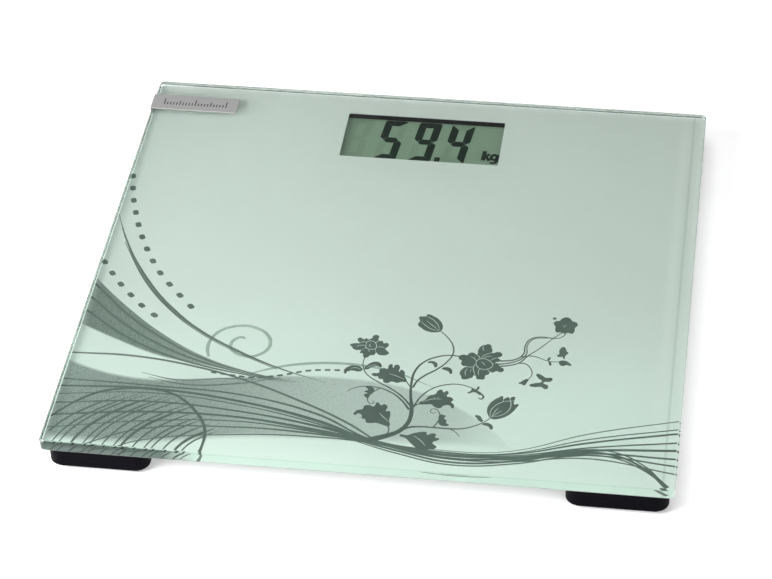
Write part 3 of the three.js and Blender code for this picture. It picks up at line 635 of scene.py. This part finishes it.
STEMS = [
    # the trunk, up to the large flower
    [(4, -128.5, 3.6), (12, -124.5, 3.2), (17.6, -120.6, 2.5), (20.8, -115.5, 2.2), (22, -109.5, 2),
     (21.6, -102.5, 1.9), (20.2, -95, 1.3), (19.4, -87, 1.2), (20, -76, 1.1), (23.4, -69, 1),
     (28.6, -64.8, 0.9), (35, -62.6, 0.8), (41.5, -62.9, 0.8)],
    # to the tall bud
    [(20.4, -88.5, 1), (21.8, -83.6, 1), (25, -79, 1), (30, -74, 0.9), (34.3, -68, 0.8),
     (36.7, -61.5, 0.7), (36, -55, 0.7), (32.8, -49.2, 0.6), (29.2, -45, 0.6)],
    # to the flower on the left
    [(21, -101.8, 1.1), (16.5, -96, 0.9), (10, -90.4, 0.8), (3, -86, 0.7), (-2, -82.2, 0.6),
     (-4.8, -78, 0.6), (-5.9, -73.6, 0.5), (-5.8, -68.5, 0.5)],
    # low left tendril
    [(20.6, -104.6, 1.1), (16, -98, 0.9), (10, -92.8, 0.8), (3, -90.2, 0.7), (-4, -90.3, 0.6),
     (-8.2, -92.2, 0.5), (-10.8, -94.8, 0.3)],
    # right tendril, with its hook
    [(22.4, -102, 0.9), (25.4, -94, 0.8), (30, -88, 0.7), (36, -84.6, 0.7), (42, -83.6, 0.6),
     (47, -84.8, 0.5), (50, -86.4, 0.6), (53.6, -89.4, 0.9), (54.9, -91.6, 0.9), (53.9, -93.1, 0.8),
     (52.6, -92.4, 0.5)],
    # to the low bud
    [(18.6, -119.8, 1.4), (22, -117.3, 1.2), (27, -116.2, 1), (34, -116, 0.9), (42, -116, 0.9),
     (48, -115.1, 0.8), (54, -112, 0.7), (58, -108.6, 0.6), (60, -105.8, 0.5)],
    # up to the far flower, three lines
    [(58, -64, 1), (63, -63.6, 0.9), (68, -61.6, 0.8), (70.9, -57.5, 0.7), (71.2, -51, 0.7),
     (73.2, -46, 0.7), (78, -43.7, 0.7), (84, -43.9, 0.6), (88, -43, 0.6), (90.3, -39.5, 0.5)],
    [(58, -66.8, 1), (64, -65.3, 0.8), (69.6, -62, 0.7), (72.3, -57.5, 0.6), (72.2, -51, 0.5),
     (74.8, -45.6, 0.5), (79, -44.4, 0.5), (86, -44.1, 0.3)],
    [(59, -68.4, 0.9), (66, -66.4, 0.8), (70, -63.8, 0.7), (73, -59, 0.7), (78, -53, 0.6),
     (84, -44.5, 0.5), (88.2, -39.2, 0.5)],
    # side shoots
    [(70, -59.9, 0.8), (74, -58.7, 0.7), (77.5, -59, 0.6), (81, -60.7, 0.5), (85, -61.7, 0.5),
     (90, -61.2, 0.4)],
    [(69.6, -64.6, 0.7), (72.5, -64.8, 0.6), (75.4, -68, 0.5), (76.4, -72.5, 0.5), (74.8, -76.6, 0.4)],
    [(41.6, -116.1, 0.6), (44.4, -118, 0.5), (46.8, -121.2, 0.3)],
    # leaf stalks
    [(22.2, -103.2, 0.7), (23.6, -100.8, 0.7), (26.4, -99.2, 0.8)],
    [(19.4, -88.4, 0.6), (17.2, -85, 0.6), (15.4, -82, 0.7)],
    [(11.8, -116.4, 0.8), (12.9, -120, 0.6), (12.4, -123.4, 0.6)],
    # loose curls
    [(4.8, -90.6, 0.6), (1.8, -94, 0.6), (0, -97.8, 0.6), (0.3, -100.8, 0.5), (2, -102.3, 0.5),
     (3.4, -101.2, 0.4), (2.2, -100.3, 0.3)],
    [(33.6, -115.8, 0.7), (35.2, -112, 0.7), (35.8, -108.2, 0.6), (34.8, -104.4, 0.5),
     (32.6, -102.7, 0.5), (30.9, -104.2, 0.4), (32.2, -105.8, 0.4), (33.8, -104.7, 0.3)],
]
FLOWERS = [
    # left flower
    [(-4.2, -54), (-4, -52.2), (-2.5, -51.1), (-0.9, -52), (-1, -54.3), (-0.2, -55.6), (1.2, -55.4),
     (2, -57), (3.8, -56.7), (4.7, -58.2), (4, -60), (3.4, -61), (4.4, -62.6), (5.6, -64.2),
     (4.3, -65.8), (2, -66.2), (0.2, -65.6), (-0.6, -64.6), (-1.4, -66.4), (-3.2, -66.8),
     (-4.2, -68.2), (-5.6, -69), (-6.8, -67.6), (-7, -66), (-8.6, -65.6), (-8.4, -63.6),
     (-10.4, -63.7), (-12.4, -62.7), (-13.2, -61.2), (-14.3, -60.2), (-13, -58.9), (-11, -58.4),
     (-9.8, -58.2), (-10.9, -56.4), (-10.8, -54.4), (-9.2, -54.2), (-8.4, -55.2), (-6.8, -54.2),
     (-5.8, -55), (-5.2, -54.4)],
    # large flower
    [(48.3, -60.5), (48.6, -57.5), (49.4, -54.5), (50.8, -53), (51.6, -52.8), (53, -51.9),
     (54.6, -52.8), (55, -54.8), (55.7, -56.6), (55.5, -58.4), (56.8, -58.2), (58.2, -57.4),
     (60.2, -58), (60.7, -59.6), (59.7, -61.2), (58.8, -61.6), (60, -63), (59.4, -64.8),
     (58, -65.2), (59.6, -66.4), (60.2, -68.2), (62.2, -69.4), (62.6, -71), (61.2, -72.4),
     (59, -71.8), (57.6, -73), (56.2, -72.8), (55.6, -74.6), (54.2, -75.6), (53.8, -78.4),
     (52, -78.8), (50.2, -78.5), (49.6, -76.6), (48.6, -76.2), (48, -77.8), (46.6, -78.6),
     (45.4, -79.4), (43.2, -79.4), (42.6, -77.6), (41.6, -75.4), (42.2, -72.6), (43.6, -70.6),
     (44.6, -70), (42.4, -69.6), (41.4, -67.6), (41.6, -66), (40, -64.6), (40.2, -62.2),
     (42, -61.2), (43.8, -61.4), (44.6, -59.8), (46.4, -59.2), (47.8, -60.2)],
    # far flower
    [(89.6, -27.1), (91.4, -28), (92.6, -29.8), (94.6, -30.6), (95.4, -32.6), (94.2, -35),
     (94.2, -37.4), (93.2, -39.4), (91, -39), (89.2, -39.8), (87.4, -39), (85.4, -39.2),
     (84.6, -37), (84.6, -35), (83.5, -32.6), (84.4, -30.6), (86.2, -30.2), (87.2, -28.4)],
    # tall bud, low bud and small buds
    [(28.6, -45), (29.4, -42.5), (29, -39.5), (27, -36), (24, -33.6), (20.6, -32.5), (20.2, -33.8),
     (16.8, -35), (17.6, -37.8), (16.9, -41), (18.6, -43), (21, -45), (24.4, -46), (27.4, -45.6)],
    [(59.8, -106.2), (58.4, -104), (57.6, -100.5), (58.2, -96.5), (60.2, -93), (62.2, -91),
     (64.1, -89.8), (64.6, -91.8), (65.6, -91), (67, -90.2), (67.6, -91.2), (68.2, -90.2),
     (69.8, -89.7), (69.9, -92.4), (70.2, -95.2), (71.9, -94.7), (71.2, -98), (69.4, -101.6),
     (66.8, -104.6), (63.6, -106.4), (61.2, -106.9)],
    [(89.6, -50), (90.8, -50.6), (91.6, -53), (92.6, -54.6), (91.8, -55.6), (91.2, -57.2),
     (90.8, -59.2), (90, -57.6), (88.8, -57.8), (87.2, -57.2), (88.2, -55.4), (88, -53.2),
     (88.6, -51.2)],
    [(75, -76), (74.6, -78.4), (73.4, -80.8), (72, -80), (70.6, -79.6), (71.8, -78.2), (73.4, -76.4)],
    [(49, -85.6), (50.6, -86.2), (51.9, -84), (52.2, -85.8), (51.4, -87.6), (54, -89.6), (53.6, -90.2),
     (50.2, -88.4), (47, -89.4), (48.4, -87.6)],
    # large lobed leaves
    [(16.6, -84.6), (15.4, -80.4), (14.8, -77), (13, -76), (12.4, -77.4), (12.4, -74.4), (11, -72.4),
     (9.4, -73.4), (9.2, -74.8), (8.2, -72.3), (6.8, -73.2), (6.4, -76), (4.6, -75.6), (2.6, -77.2),
     (2.8, -79.2), (-0.7, -80.6), (1.2, -82.2), (2.4, -82), (3.4, -83.8), (5, -83.8), (6, -86),
     (8, -86.4), (9.6, -85.2), (12.4, -85.8), (14.6, -84.8)],
    [(12.4, -117.8), (12.2, -113), (12.2, -109), (11.4, -106.6), (10, -107), (10.2, -103.8),
     (8.6, -102), (6.8, -103), (6.4, -102.4), (4.8, -101), (4.2, -102.8), (3.6, -104.2),
     (1.2, -103.4), (-1, -104.4), (-1.4, -106.4), (-4.2, -108), (-4.8, -111.4), (-3, -110),
     (-1.4, -111), (-0.8, -113.4), (0.6, -113.6), (1.6, -116), (4, -116.2), (6.2, -115.8),
     (8.8, -116.6), (11, -117.4)],
    [(24.8, -99.6), (27.4, -96.6), (29, -93.4), (31.8, -91.8), (32.8, -89.2), (34.4, -88.4),
     (35.6, -90.2), (37, -89), (38, -90.6), (37.4, -92.8), (39.8, -93.6), (40.8, -95.4),
     (40, -96.8), (41.4, -98.6), (41.2, -101.4), (39.4, -99.4), (36.8, -99.8), (35, -102),
     (32.4, -101.2), (30.6, -99.6), (28, -100)],
    [(18.4, -123), (22, -122.8), (25, -121), (28.4, -119.8), (30.8, -119.6), (31.4, -121.4),
     (33.6, -120.2), (35.6, -120.8), (35.4, -122.8), (37.4, -123.6), (36.2, -125.2), (34.6, -126.6),
     (36.8, -129.8), (34, -131.6), (28, -131.4), (24.6, -128.4), (21.6, -125)],
    # small leaves
    [(-4.6, -77.4), (-3.6, -74.2), (-1.2, -71.8), (1.2, -71.4), (3, -73), (3.2, -75.2), (1, -74.4),
     (-1.4, -75.6), (-3, -77.4)],
    [(-5.6, -78.4), (-6.6, -76.2), (-9.4, -75.2), (-12.4, -76.2), (-14.4, -79.6), (-13.4, -81.8),
     (-12.6, -79.8), (-10, -79.2), (-7.4, -79.6)],
    [(25.2, -69.2), (26.8, -67.8), (28.8, -68.2), (30.2, -70), (29.4, -72.4), (28.2, -70.4), (27, -69.4)],
    [(32.6, -72.8), (34.4, -71.6), (36.6, -72), (37.8, -74), (37.4, -76.4), (36, -74.6), (34.2, -73.8)],
    [(52.4, -105.3), (54.4, -105.1), (55.8, -107), (56.4, -109.4), (54.4, -108.6), (53.4, -107)],
    [(56.4, -111.2), (57.8, -109.9), (60, -110.2), (61.6, -112.2), (61.2, -114.4), (59.4, -112.4),
     (57.8, -111.8)],
    [(-2.2, -90), (1.6, -90.8), (2.2, -92.4), (1, -94.6), (0, -96.4), (-0.2, -98.4), (-1.6, -97.6),
     (-2.2, -96), (-0.8, -94.8), (-2.4, -94), (-0.8, -92.4)],
    [(36, -106.4), (37.6, -106.6), (38.6, -107), (38, -109), (39.4, -110.4), (39.2, -112),
     (40.8, -113.4), (38.2, -114.4), (36.2, -113.4), (35.6, -110.6)],
    [(88.8, -61), (91, -60.2), (93.4, -61.4), (94.6, -63.8), (92.6, -63.4), (90.4, -64.4), (88.9, -63.2)],
    [(82.8, -60.2), (84, -58.6), (84.1, -60.4), (83.2, -61.2)],
    [(83.8, -61.6), (84.9, -62.6), (84.6, -64.8), (83.8, -63.4)],
    [(82.6, -28.8), (83.6, -27.8), (84.6, -28.6), (83.8, -29.6)],
    # butterfly
    [(78.8, -71.6), (81, -72.2), (83.4, -74), (86.4, -74), (85.8, -76.6), (83, -77.2), (82.6, -78.2),
     (84.8, -79.6), (84.2, -82.4), (81.6, -81), (78, -81.4), (76, -80.6), (78.4, -78.6),
     (81.2, -77.6), (81.6, -76.6), (79.6, -74.6)],
]
VEINS = [
    # left flower
    [(-6.4, -58.6), (-6.2, -57), (-4.8, -56), (-3, -56.2), (-1.8, -57.6), (-1.2, -59.6), (-1.4, -61.4),
     (-3, -62.3), (-5, -62.1), (-6.4, -60.6), (-6.4, -58.6)],
    [(-6.3, -57.4), (-8.2, -57), (-9.8, -58.2)],
    [(-4.9, -56), (-5.2, -54.4)],
    [(-2, -57.2), (-1.2, -56), (-0.6, -55.2)],
    [(-1.3, -60.4), (1.2, -60), (3.6, -60.9)],
    [(-1.6, -61.8), (-0.7, -64.8)],
    [(-4.6, -62.3), (-4.2, -64.4)],
    [(-6, -61.2), (-8.4, -63.6)],
    [(-6.5, -59.6), (-9, -59.8), (-11, -61)],
    [(-4.4, -58), (-4.6, -59.8), (-3.4, -60.8)],
    # large flower
    [(48.6, -66.6), (49, -64.8), (50.4, -63.5), (52.6, -63.2), (54.8, -64.4), (56.4, -66.2),
     (56.8, -68.2), (55.6, -70), (53.4, -71.1), (51, -70.8), (49.4, -69.2), (48.6, -66.6)],
    [(50.2, -63.5), (49.6, -61.8), (48, -60.4)],
    [(50.6, -63.4), (51.8, -60.8), (53.8, -59.2), (55.6, -58.3)],
    [(51.6, -63.2), (53.4, -61.4), (56, -60.8)],
    [(55, -64.5), (57, -62.6), (59, -61.5)],
    [(56.6, -67), (58.6, -65.2)],
    [(48.6, -67.2), (47.7, -70.4), (48.4, -73.6), (49.4, -76.6)],
    [(48.7, -65.6), (47.2, -63.2), (45.4, -62.4)],
    [(44.4, -70.1), (46.2, -70.2), (47.8, -69.4)],
    [(44.8, -71.4), (44.2, -73.8), (44.6, -76.8)],
    [(46.9, -71.6), (46.4, -74.2)],
    [(51, -70.8), (50.4, -73.4), (51, -75.8)],
    [(54.6, -70.6), (55.4, -72), (56.4, -72.9)],
    [(50.8, -65.6), (52.2, -66.6), (53.2, -68.2)],
    [(51, -53.6), (50.8, -55.6), (51.6, -57.2)],
    [(88.3, -34.8), (89, -34), (89.8, -33.6)],
    # tall bud
    [(28.2, -44.6), (24.5, -43.8), (20.6, -41), (18, -38)],
    [(28.4, -44), (26, -38.8), (22.8, -35.4), (20.2, -33.9)],
    [(27.6, -43.8), (24, -40.6), (21, -37.6)],
    # low bud
    [(59.8, -105.8), (59.3, -102), (60.5, -98.2), (62.8, -95.2), (64.5, -93.9), (64.6, -91.7)],
    [(60.2, -105.4), (61.6, -101), (63, -98.4)],
    [(60.4, -105.5), (65, -103.4), (67.6, -100.3), (68.6, -97), (68.2, -93.4), (67.6, -91.1)],
    [(64.5, -93.9), (67, -93.1), (70, -92.6)],
    [(60.4, -105.2), (62.6, -102.6), (64.8, -100.4)],
    # leaves
    [(15.4, -82.8), (11, -80.6), (7.8, -79.6)],
    [(12, -114.2), (9, -111), (6.8, -108.6)],
    [(26.4, -98.4), (30.5, -95.8), (35, -95.3)],
    [(31.8, -95.6), (31.6, -94.2)],
    [(33.4, -95.4), (33.4, -93.8)],
    [(25, -122.8), (28.6, -125.6), (31.4, -129.2)],
    [(-3.8, -76.4), (-1.6, -74.4), (0.6, -73)],
    [(-6.4, -77.8), (-9, -76.9), (-11.6, -77.6)],
]


def ink(name, colour, depth=0.12):
    """Screen-printed ink: slightly uneven cover with a fine mesh grain."""
    finish = Finish(name, colour, 0.5, specular_ior_level=0.3)
    cover = finish.noise(4.0, 3.0)
    mesh = finish.cells(0.3, {"feature": "F1"})
    lighter = tuple(min(1.0, c * (1 + 2.2 * depth)) for c in colour)
    darker = tuple(c * (1 - depth) for c in colour)
    finish.set("Base Color", finish.mix(cover * 0.7 + mesh * 0.3, darker, lighter))
    return finish.material


def print_ornament():
    dark = ink("ink_dark", srgb(90, 105, 98))
    line = ink("ink_line", srgb(97, 114, 106))
    soft = ink("ink_soft", srgb(108, 124, 116))
    pale = ink("ink_pale", srgb(160, 178, 168), 0.3)
    bare = ink("bare_pearl", srgb(196, 212, 202), 0.05)
    veins = [even_widths(points, 0.42, 0.5) for points in VEINS]
    finish_piece(filled_shape("print_flowers", FLOWERS), dark)
    finish_piece(stroke_shape("print_stems", STEMS), dark)
    finish_piece(stroke_shape("print_veins", veins, z=VEIN_Z), bare)
    finish_piece(stroke_shape("print_flow_lines", flow_lines()), line)
    finish_piece(stroke_shape("print_hatching", hatch_lines()), line)
    finish_piece(stroke_shape("print_sweeps", sweep_lines()), soft)
    finish_piece(stroke_shape("print_curls", curl_lines(), z=CURL_Z), pale)
    finish_piece(filled_shape("print_dashes", dashes(), False), line)


# ---------------------------------------------------------------- display
DIGIT_WIDTH = 12.4
DIGIT_FOOT, DIGIT_TOP = 99.0, 134.3
DIGIT_STROKE = 4.2
DIGIT_BAR = 4.6
DIGIT_SLANT = 0.09
DIGIT_CENTRES = (-36.0, -17.65, 0.9, 18.75)
SHOWN = (("", 0), ("afgcd", 1), ("abcdfg", 2), ("fgbc", 3))


def segment(letter, centre):
    """One bar of a seven-segment digit, with mitred ends and a thin gap at each corner."""
    w, h = DIGIT_WIDTH / 2, (DIGIT_TOP - DIGIT_FOOT) / 2
    t, bar, gap = DIGIT_STROKE, DIGIT_BAR, 0.2
    middle_y = (DIGIT_TOP + DIGIT_FOOT) / 2
    if letter in "ad":
        s = 1 if letter == "a" else -1
        shape = [(-w + gap + 0.8, s * h), (w - gap - 0.8, s * h), (w - gap, s * (h - 0.7)),
                 (w - t + 0.1, s * (h - bar)), (-w + t - 0.1, s * (h - bar)),
                 (-w + gap, s * (h - 0.7))]
    elif letter == "g":
        tip = w - t * 0.45 - gap
        shape = [(-tip, 0), (-w + t - 0.2, bar / 2), (w - t + 0.2, bar / 2),
                 (tip, 0), (w - t + 0.2, -bar / 2), (-w + t - 0.2, -bar / 2)]
    else:
        sx = 1 if letter in "bc" else -1
        sy = 1 if letter in "bf" else -1
        shape = [(sx * w, sy * (h - 1.5)), (sx * (w - 0.5), sy * (h - 0.9)),
                 (sx * (w - t), sy * (h - bar - 0.3)), (sx * (w - t), sy * (bar / 2 + gap)),
                 (sx * (w - t * 0.45), sy * (gap + 0.05)), (sx * w, sy * (t * 0.5 + gap))]
    return [(centre + x + y * DIGIT_SLANT, middle_y + y) for x, y in shape]


def display():
    ground = Finish("lcd_ground", srgb(128, 152, 130), 0.3)
    x, y, _ = ground.axes()
    streak = ground.noise(3.2, 1.0, (1, 0.03, 1))
    shade = ground.noise(25.0, 2.0)
    tone = ground.mix(streak * 0.7 + shade * 0.3, srgb(134, 161, 136), srgb(147, 173, 149))
    ground.set("Base Color", tone)
    ground.set("Roughness", 0.3 + shade * 0.05)
    nodes["lcd_panel"].data.materials.clear()
    nodes["lcd_panel"].data.materials.append(ground.material)

    segment_ink = Finish("lcd_segment", srgb(6, 34, 20), 0.6, specular_ior_level=0.05)
    cloud = segment_ink.noise(5.0, 2.0)
    segment_ink.set("Base Color", segment_ink.mix(cloud, srgb(4, 32, 18), srgb(10, 38, 24)))
    ghost_ink = Finish("lcd_ghost", srgb(104, 127, 106), 0.3)
    cloud = ghost_ink.noise(25.0, 2.0)
    ghost_ink.set("Base Color", ghost_ink.mix(cloud, srgb(130, 156, 132), srgb(135, 161, 137)))
    level = lcd_high.z + 0.03
    thick = 0.02

    lit, unlit = [], []
    for letters, place in SHOWN:
        for letter in "abcdefg":
            (lit if letter in letters else unlit).append(segment(letter, DIGIT_CENTRES[place]))
    lit.append([(7.5, 99.5), (10.5, 99.5), (10.7, 103.7), (7.7, 103.7)])
    digits = filled_shape("lcd_digits", lit, False, level, thick)
    finish_piece(digits, segment_ink.material)
    unlit_digits = filled_shape("lcd_unlit_digits", unlit, False, level, thick)
    finish_piece(unlit_digits, ghost_ink.material)

    letters = [
        [(33.5, 103.7, 1.9), (33.9, 112.0, 1.9)],
        [(34.2, 106.5, 1.4), (36.7, 109.6, 1.7)],
        [(34.8, 107.2, 1.5), (37.1, 103.7, 1.8)],
        [(40.6, 108.2, 1.3), (39.3, 109.2, 1.5), (38.1, 108.0, 1.5), (38.0, 105.9, 1.5),
         (39.1, 104.7, 1.4), (40.5, 105.6, 1.3)],
        [(40.9, 109.4, 1.6), (40.8, 105.2, 1.6), (40.4, 102.6, 1.5), (39.0, 101.8, 1.3),
         (37.4, 102.2, 1.2)],
    ]
    bold = [[(x, y, width * 1.18) for x, y, width in stroke] for stroke in letters]
    unit = stroke_shape("lcd_unit", bold, z=level)
    finish_piece(unit, segment_ink.material)


# ---------------------------------------------------------------- softened copies of hard parts
def softened(node, name, width_mm, segments=3, angle=35):
    """A copy of a CAD solid with its hard edges rounded, which then stands for it."""
    source = nodes[node]
    mesh = source.data.copy()
    mesh.name = name
    shape = bmesh.new()
    shape.from_mesh(mesh)
    bmesh.ops.remove_doubles(shape, verts=shape.verts, dist=2e-6)
    bmesh.ops.dissolve_limit(
        shape, angle_limit=math.radians(1.5), verts=shape.verts, edges=shape.edges
    )
    edges = [
        e
        for e in shape.edges
        if len(e.link_faces) == 2 and e.calc_face_angle() > math.radians(angle)
    ]
    bmesh.ops.bevel(
        shape,
        geom=edges,
        offset=width_mm * MM,
        affect="EDGES",
        segments=segments,
        profile=0.5,
        material=-1,
        clamp_overlap=True,
    )
    for face in shape.faces:
        face.smooth = True
    shape.to_mesh(mesh)
    shape.free()
    piece = bpy.data.objects.new(name, mesh)
    bpy.context.scene.collection.objects.link(piece)
    normals = piece.modifiers.new("even_shading", "WEIGHTED_NORMAL")
    normals.keep_sharp = True
    normals.weight = 100
    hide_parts(node)
    return piece


# in millimetres: the ruler ticks on the badge
TICK_COUNT = 21
TICK_PITCH = 1.7
TICK_INSET = 7.0
TICK_HALF = 0.28
TICK_FOOT = -2.4
ETCH_DEPTH = 0.012


def badge():
    """A brushed plate, sunk by the depth of the ruler ticks that lie on it."""
    steel = brushed("badge_steel", srgb(186, 185, 185), 0.36, metal=0.45)
    piece = softened("name_badge", "badge_plate", 0.18)
    finish_piece(piece, steel)
    low, high = (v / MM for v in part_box("name_badge"))
    for vertex in piece.data.vertices:
        if vertex.co.z > (high.z - 0.002) * MM:
            vertex.co.z -= ETCH_DEPTH * MM
    foot_y = (low.y + high.y) / 2 + TICK_FOOT
    marks = []
    for i in range(TICK_COUNT):
        x = low.x + TICK_INSET + i * TICK_PITCH
        tall = 5.2 if i % 10 == 0 else 3.9 if i % 5 == 0 else 2.4
        left, right, top_y = x - TICK_HALF, x + TICK_HALF, foot_y + tall
        marks.append([(left, foot_y), (right, foot_y), (right, top_y), (left, top_y)])
    etched = Finish("badge_etching", srgb(38, 36, 38), 0.5)
    patches = etched.noise(2.0, 2.0)
    etched.set("Base Color", etched.mix(patches, srgb(30, 28, 30), srgb(52, 50, 51)))
    ticks = filled_shape("badge_ticks", marks, False, high.z - 0.007, 0.008)
    finish_piece(ticks, etched.material)


# ---------------------------------------------------------------- carried parts
def carried_materials():
    plastic = moulded("black_abs", (0.002, 0.0016, 0.0034), 0.5, 0.35, 0.02, 0.03)
    board = Finish("solder_mask", srgb(28, 84, 52), 0.35)
    copper = board.noise(1.6, 3.0).rise(0.5, 0.56)
    board.set("Base Color", board.mix(copper, srgb(22, 70, 44), srgb(44, 112, 70)))
    board.bump(copper, 0.03)
    return {
        "glass": glass_material(),
        "film": film_material(),
        "badge": brushed("badge_back", srgb(190, 186, 186), 0.36),
        "black_plastic": plastic,
        "rubber": moulded("foot_rubber", (0.012, 0.012, 0.013), 0.75, 0.6, 0.05),
        "foam": moulded("foam_tape", (0.014, 0.015, 0.016), 0.9, 0.5, 0.2),
        "tape": moulded("mounting_tape", srgb(225, 223, 215), 0.7, 0.8, 0.02),
        "sensor_steel": brushed("stamped_steel", srgb(170, 172, 174), 0.32, "y"),
        "gauge": moulded("pale_polymer", srgb(226, 220, 204), 0.55, 0.8, 0.01),
        "lcd": moulded("lcd_back", srgb(111, 138, 118), 0.3, 2.0, 0.005),
        "ribbon": moulded("amber_foil", srgb(156, 112, 42), 0.4, 1.0, 0.005),
        "board": board.material,
        "chip": moulded("epoxy_drop", (0.006, 0.006, 0.006), 0.2, 3.0, 0.03),
        "coin_steel": brushed("coin_can", srgb(214, 215, 217), 0.2, "none"),
        "contact": brushed("nickel_strip", srgb(208, 202, 180), 0.25, "y"),
        "screw_steel": brushed("zinc_screw", srgb(168, 170, 171), 0.3, "none"),
        "cable": moulded("cable_jacket", srgb(44, 45, 49), 0.55, 0.7, 0.01),
    }


finishes = carried_materials()
for node, obj in nodes.items():
    obj.data.materials.clear()
    obj.data.materials.append(finishes[slot_of[node]])

print_ornament()
display()
badge()


def soften_part(node, name, width_mm, body=BODY):
    slot = slot_of[node]
    return finish_piece(softened(node, name, width_mm), finishes[slot], body)


soften_part("case_cover", "case_shell", 0.4)
soften_part("battery_door", "battery_hatch", 0.2, "battery_door")
soften_part("unit_button", "unit_key", 0.25, "unit_button")
for end in ("front", "rear"):
    for side in "lr":
        soften_part(f"wire_duct_{end}_{side}", f"duct_cover_{end}_{side}", 0.35)
for foot in FEET:
    body = f"foot_{foot}"
    soften_part(f"foot_cap_{foot}", f"foot_shell_{foot}", 0.55, body)
    soften_part(f"foot_pad_{foot}", f"foot_sole_{foot}", 0.3, body)
    plate = softened(f"load_cell_{foot}", f"strain_plate_{foot}", 0.08)
    plate.data.materials.clear()
    plate.data.materials.append(finishes["sensor_steel"])
    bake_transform(plate)


# ---------------------------------------------------------------- room, light and camera
FLOOR_HALF = 6.0
FLOOR_GAP = 0.2 * MM


def floor():
    shape = bmesh.new()
    bmesh.ops.create_grid(shape, x_segments=1, y_segments=1, size=FLOOR_HALF)
    bmesh.ops.translate(shape, vec=(0, 0, -FLOOR_GAP), verts=shape.verts)
    mesh = bpy.data.meshes.new("floor")
    shape.to_mesh(mesh)
    shape.free()
    piece = bpy.data.objects.new("floor", mesh)
    bpy.context.scene.collection.objects.link(piece)
    glow = {"emission_color": (1, 1, 1), "emission_strength": 0.34}
    paint = Finish("floor_paint", (0.86, 0.86, 0.86), 0.8, **glow)
    grain = paint.noise(30.0, 2.0)
    paint.set("Base Color", paint.mix(grain, (0.85, 0.85, 0.85), (0.87, 0.87, 0.87)))
    mesh.materials.append(paint.material)


def softbox(name, place, target, size, power):
    lamp = bpy.data.lights.new(name, "AREA")
    lamp.shape = "RECTANGLE"
    lamp.size, lamp.size_y = size
    lamp.energy = power
    holder = bpy.data.objects.new(name, lamp)
    holder.location = place
    aim = Vector(target) - Vector(place)
    holder.rotation_euler = aim.to_track_quat("-Z", "Y").to_euler()
    bpy.context.scene.collection.objects.link(holder)


def light():
    world = bpy.data.worlds.new("studio")
    world.use_nodes = True
    world.node_tree.nodes["Background"].inputs["Color"].default_value = (1, 1, 1, 1)
    world.node_tree.nodes["Background"].inputs["Strength"].default_value = 0.08
    bpy.context.scene.world = world
    for k in range(3):
        place = (-0.62 + 0.16 * k, 1.2, 1.0)
        softbox(f"rear_light_{k}", place, (-0.2, 0.0, 0.0), (0.9, 1.1), 0.1)
    softbox("top_light", (0.0, -0.25, 1.9), (0.0, 0.0, 0.0), (1.6, 1.6), 25)
    softbox("key_light", (-0.66, -0.5, 0.5), (-0.04, -0.06, 0.0), (0.5, 0.5), 15)
    softbox("fill_light", (1.0, -1.4, 0.9), (0.0, 0.0, 0.0), (1.2, 1.2), 8)


CAMERA_ANGLES = (8.478, 38.794, 1.302)
CAMERA_TARGET = (-1.939, -18.838, 19.0)
CAMERA_DISTANCE = 1.4390
SENSOR = 36.0  # millimetres, as the lens
LENS = 3.724637 * SENSOR  # a long lens, which keeps the sides nearly parallel


def camera():
    azimuth, elevation, roll = map(math.radians, CAMERA_ANGLES)
    back = Vector(
        (
            math.sin(azimuth) * math.cos(elevation),
            -math.cos(azimuth) * math.cos(elevation),
            math.sin(elevation),
        )
    )
    target = Vector(CAMERA_TARGET) * MM
    right = (-back).cross(Vector((0, 0, 1))).normalized()
    down = (-back).cross(right)
    tilted_right = right * math.cos(roll) + down * math.sin(roll)
    tilted_down = down * math.cos(roll) - right * math.sin(roll)
    view = bpy.data.cameras.new("camera")
    view.sensor_width = SENSOR
    view.lens = LENS
    view.clip_start = 0.01
    holder = bpy.data.objects.new("camera", view)
    turn = Matrix((tilted_right, -tilted_down, back)).transposed().to_4x4()
    holder.matrix_world = Matrix.Translation(target + back * CAMERA_DISTANCE) @ turn
    bpy.context.scene.collection.objects.link(holder)
    bpy.context.scene.camera = holder


floor()
light()
camera()
bpy.context.scene.view_settings.view_transform = "Standard"
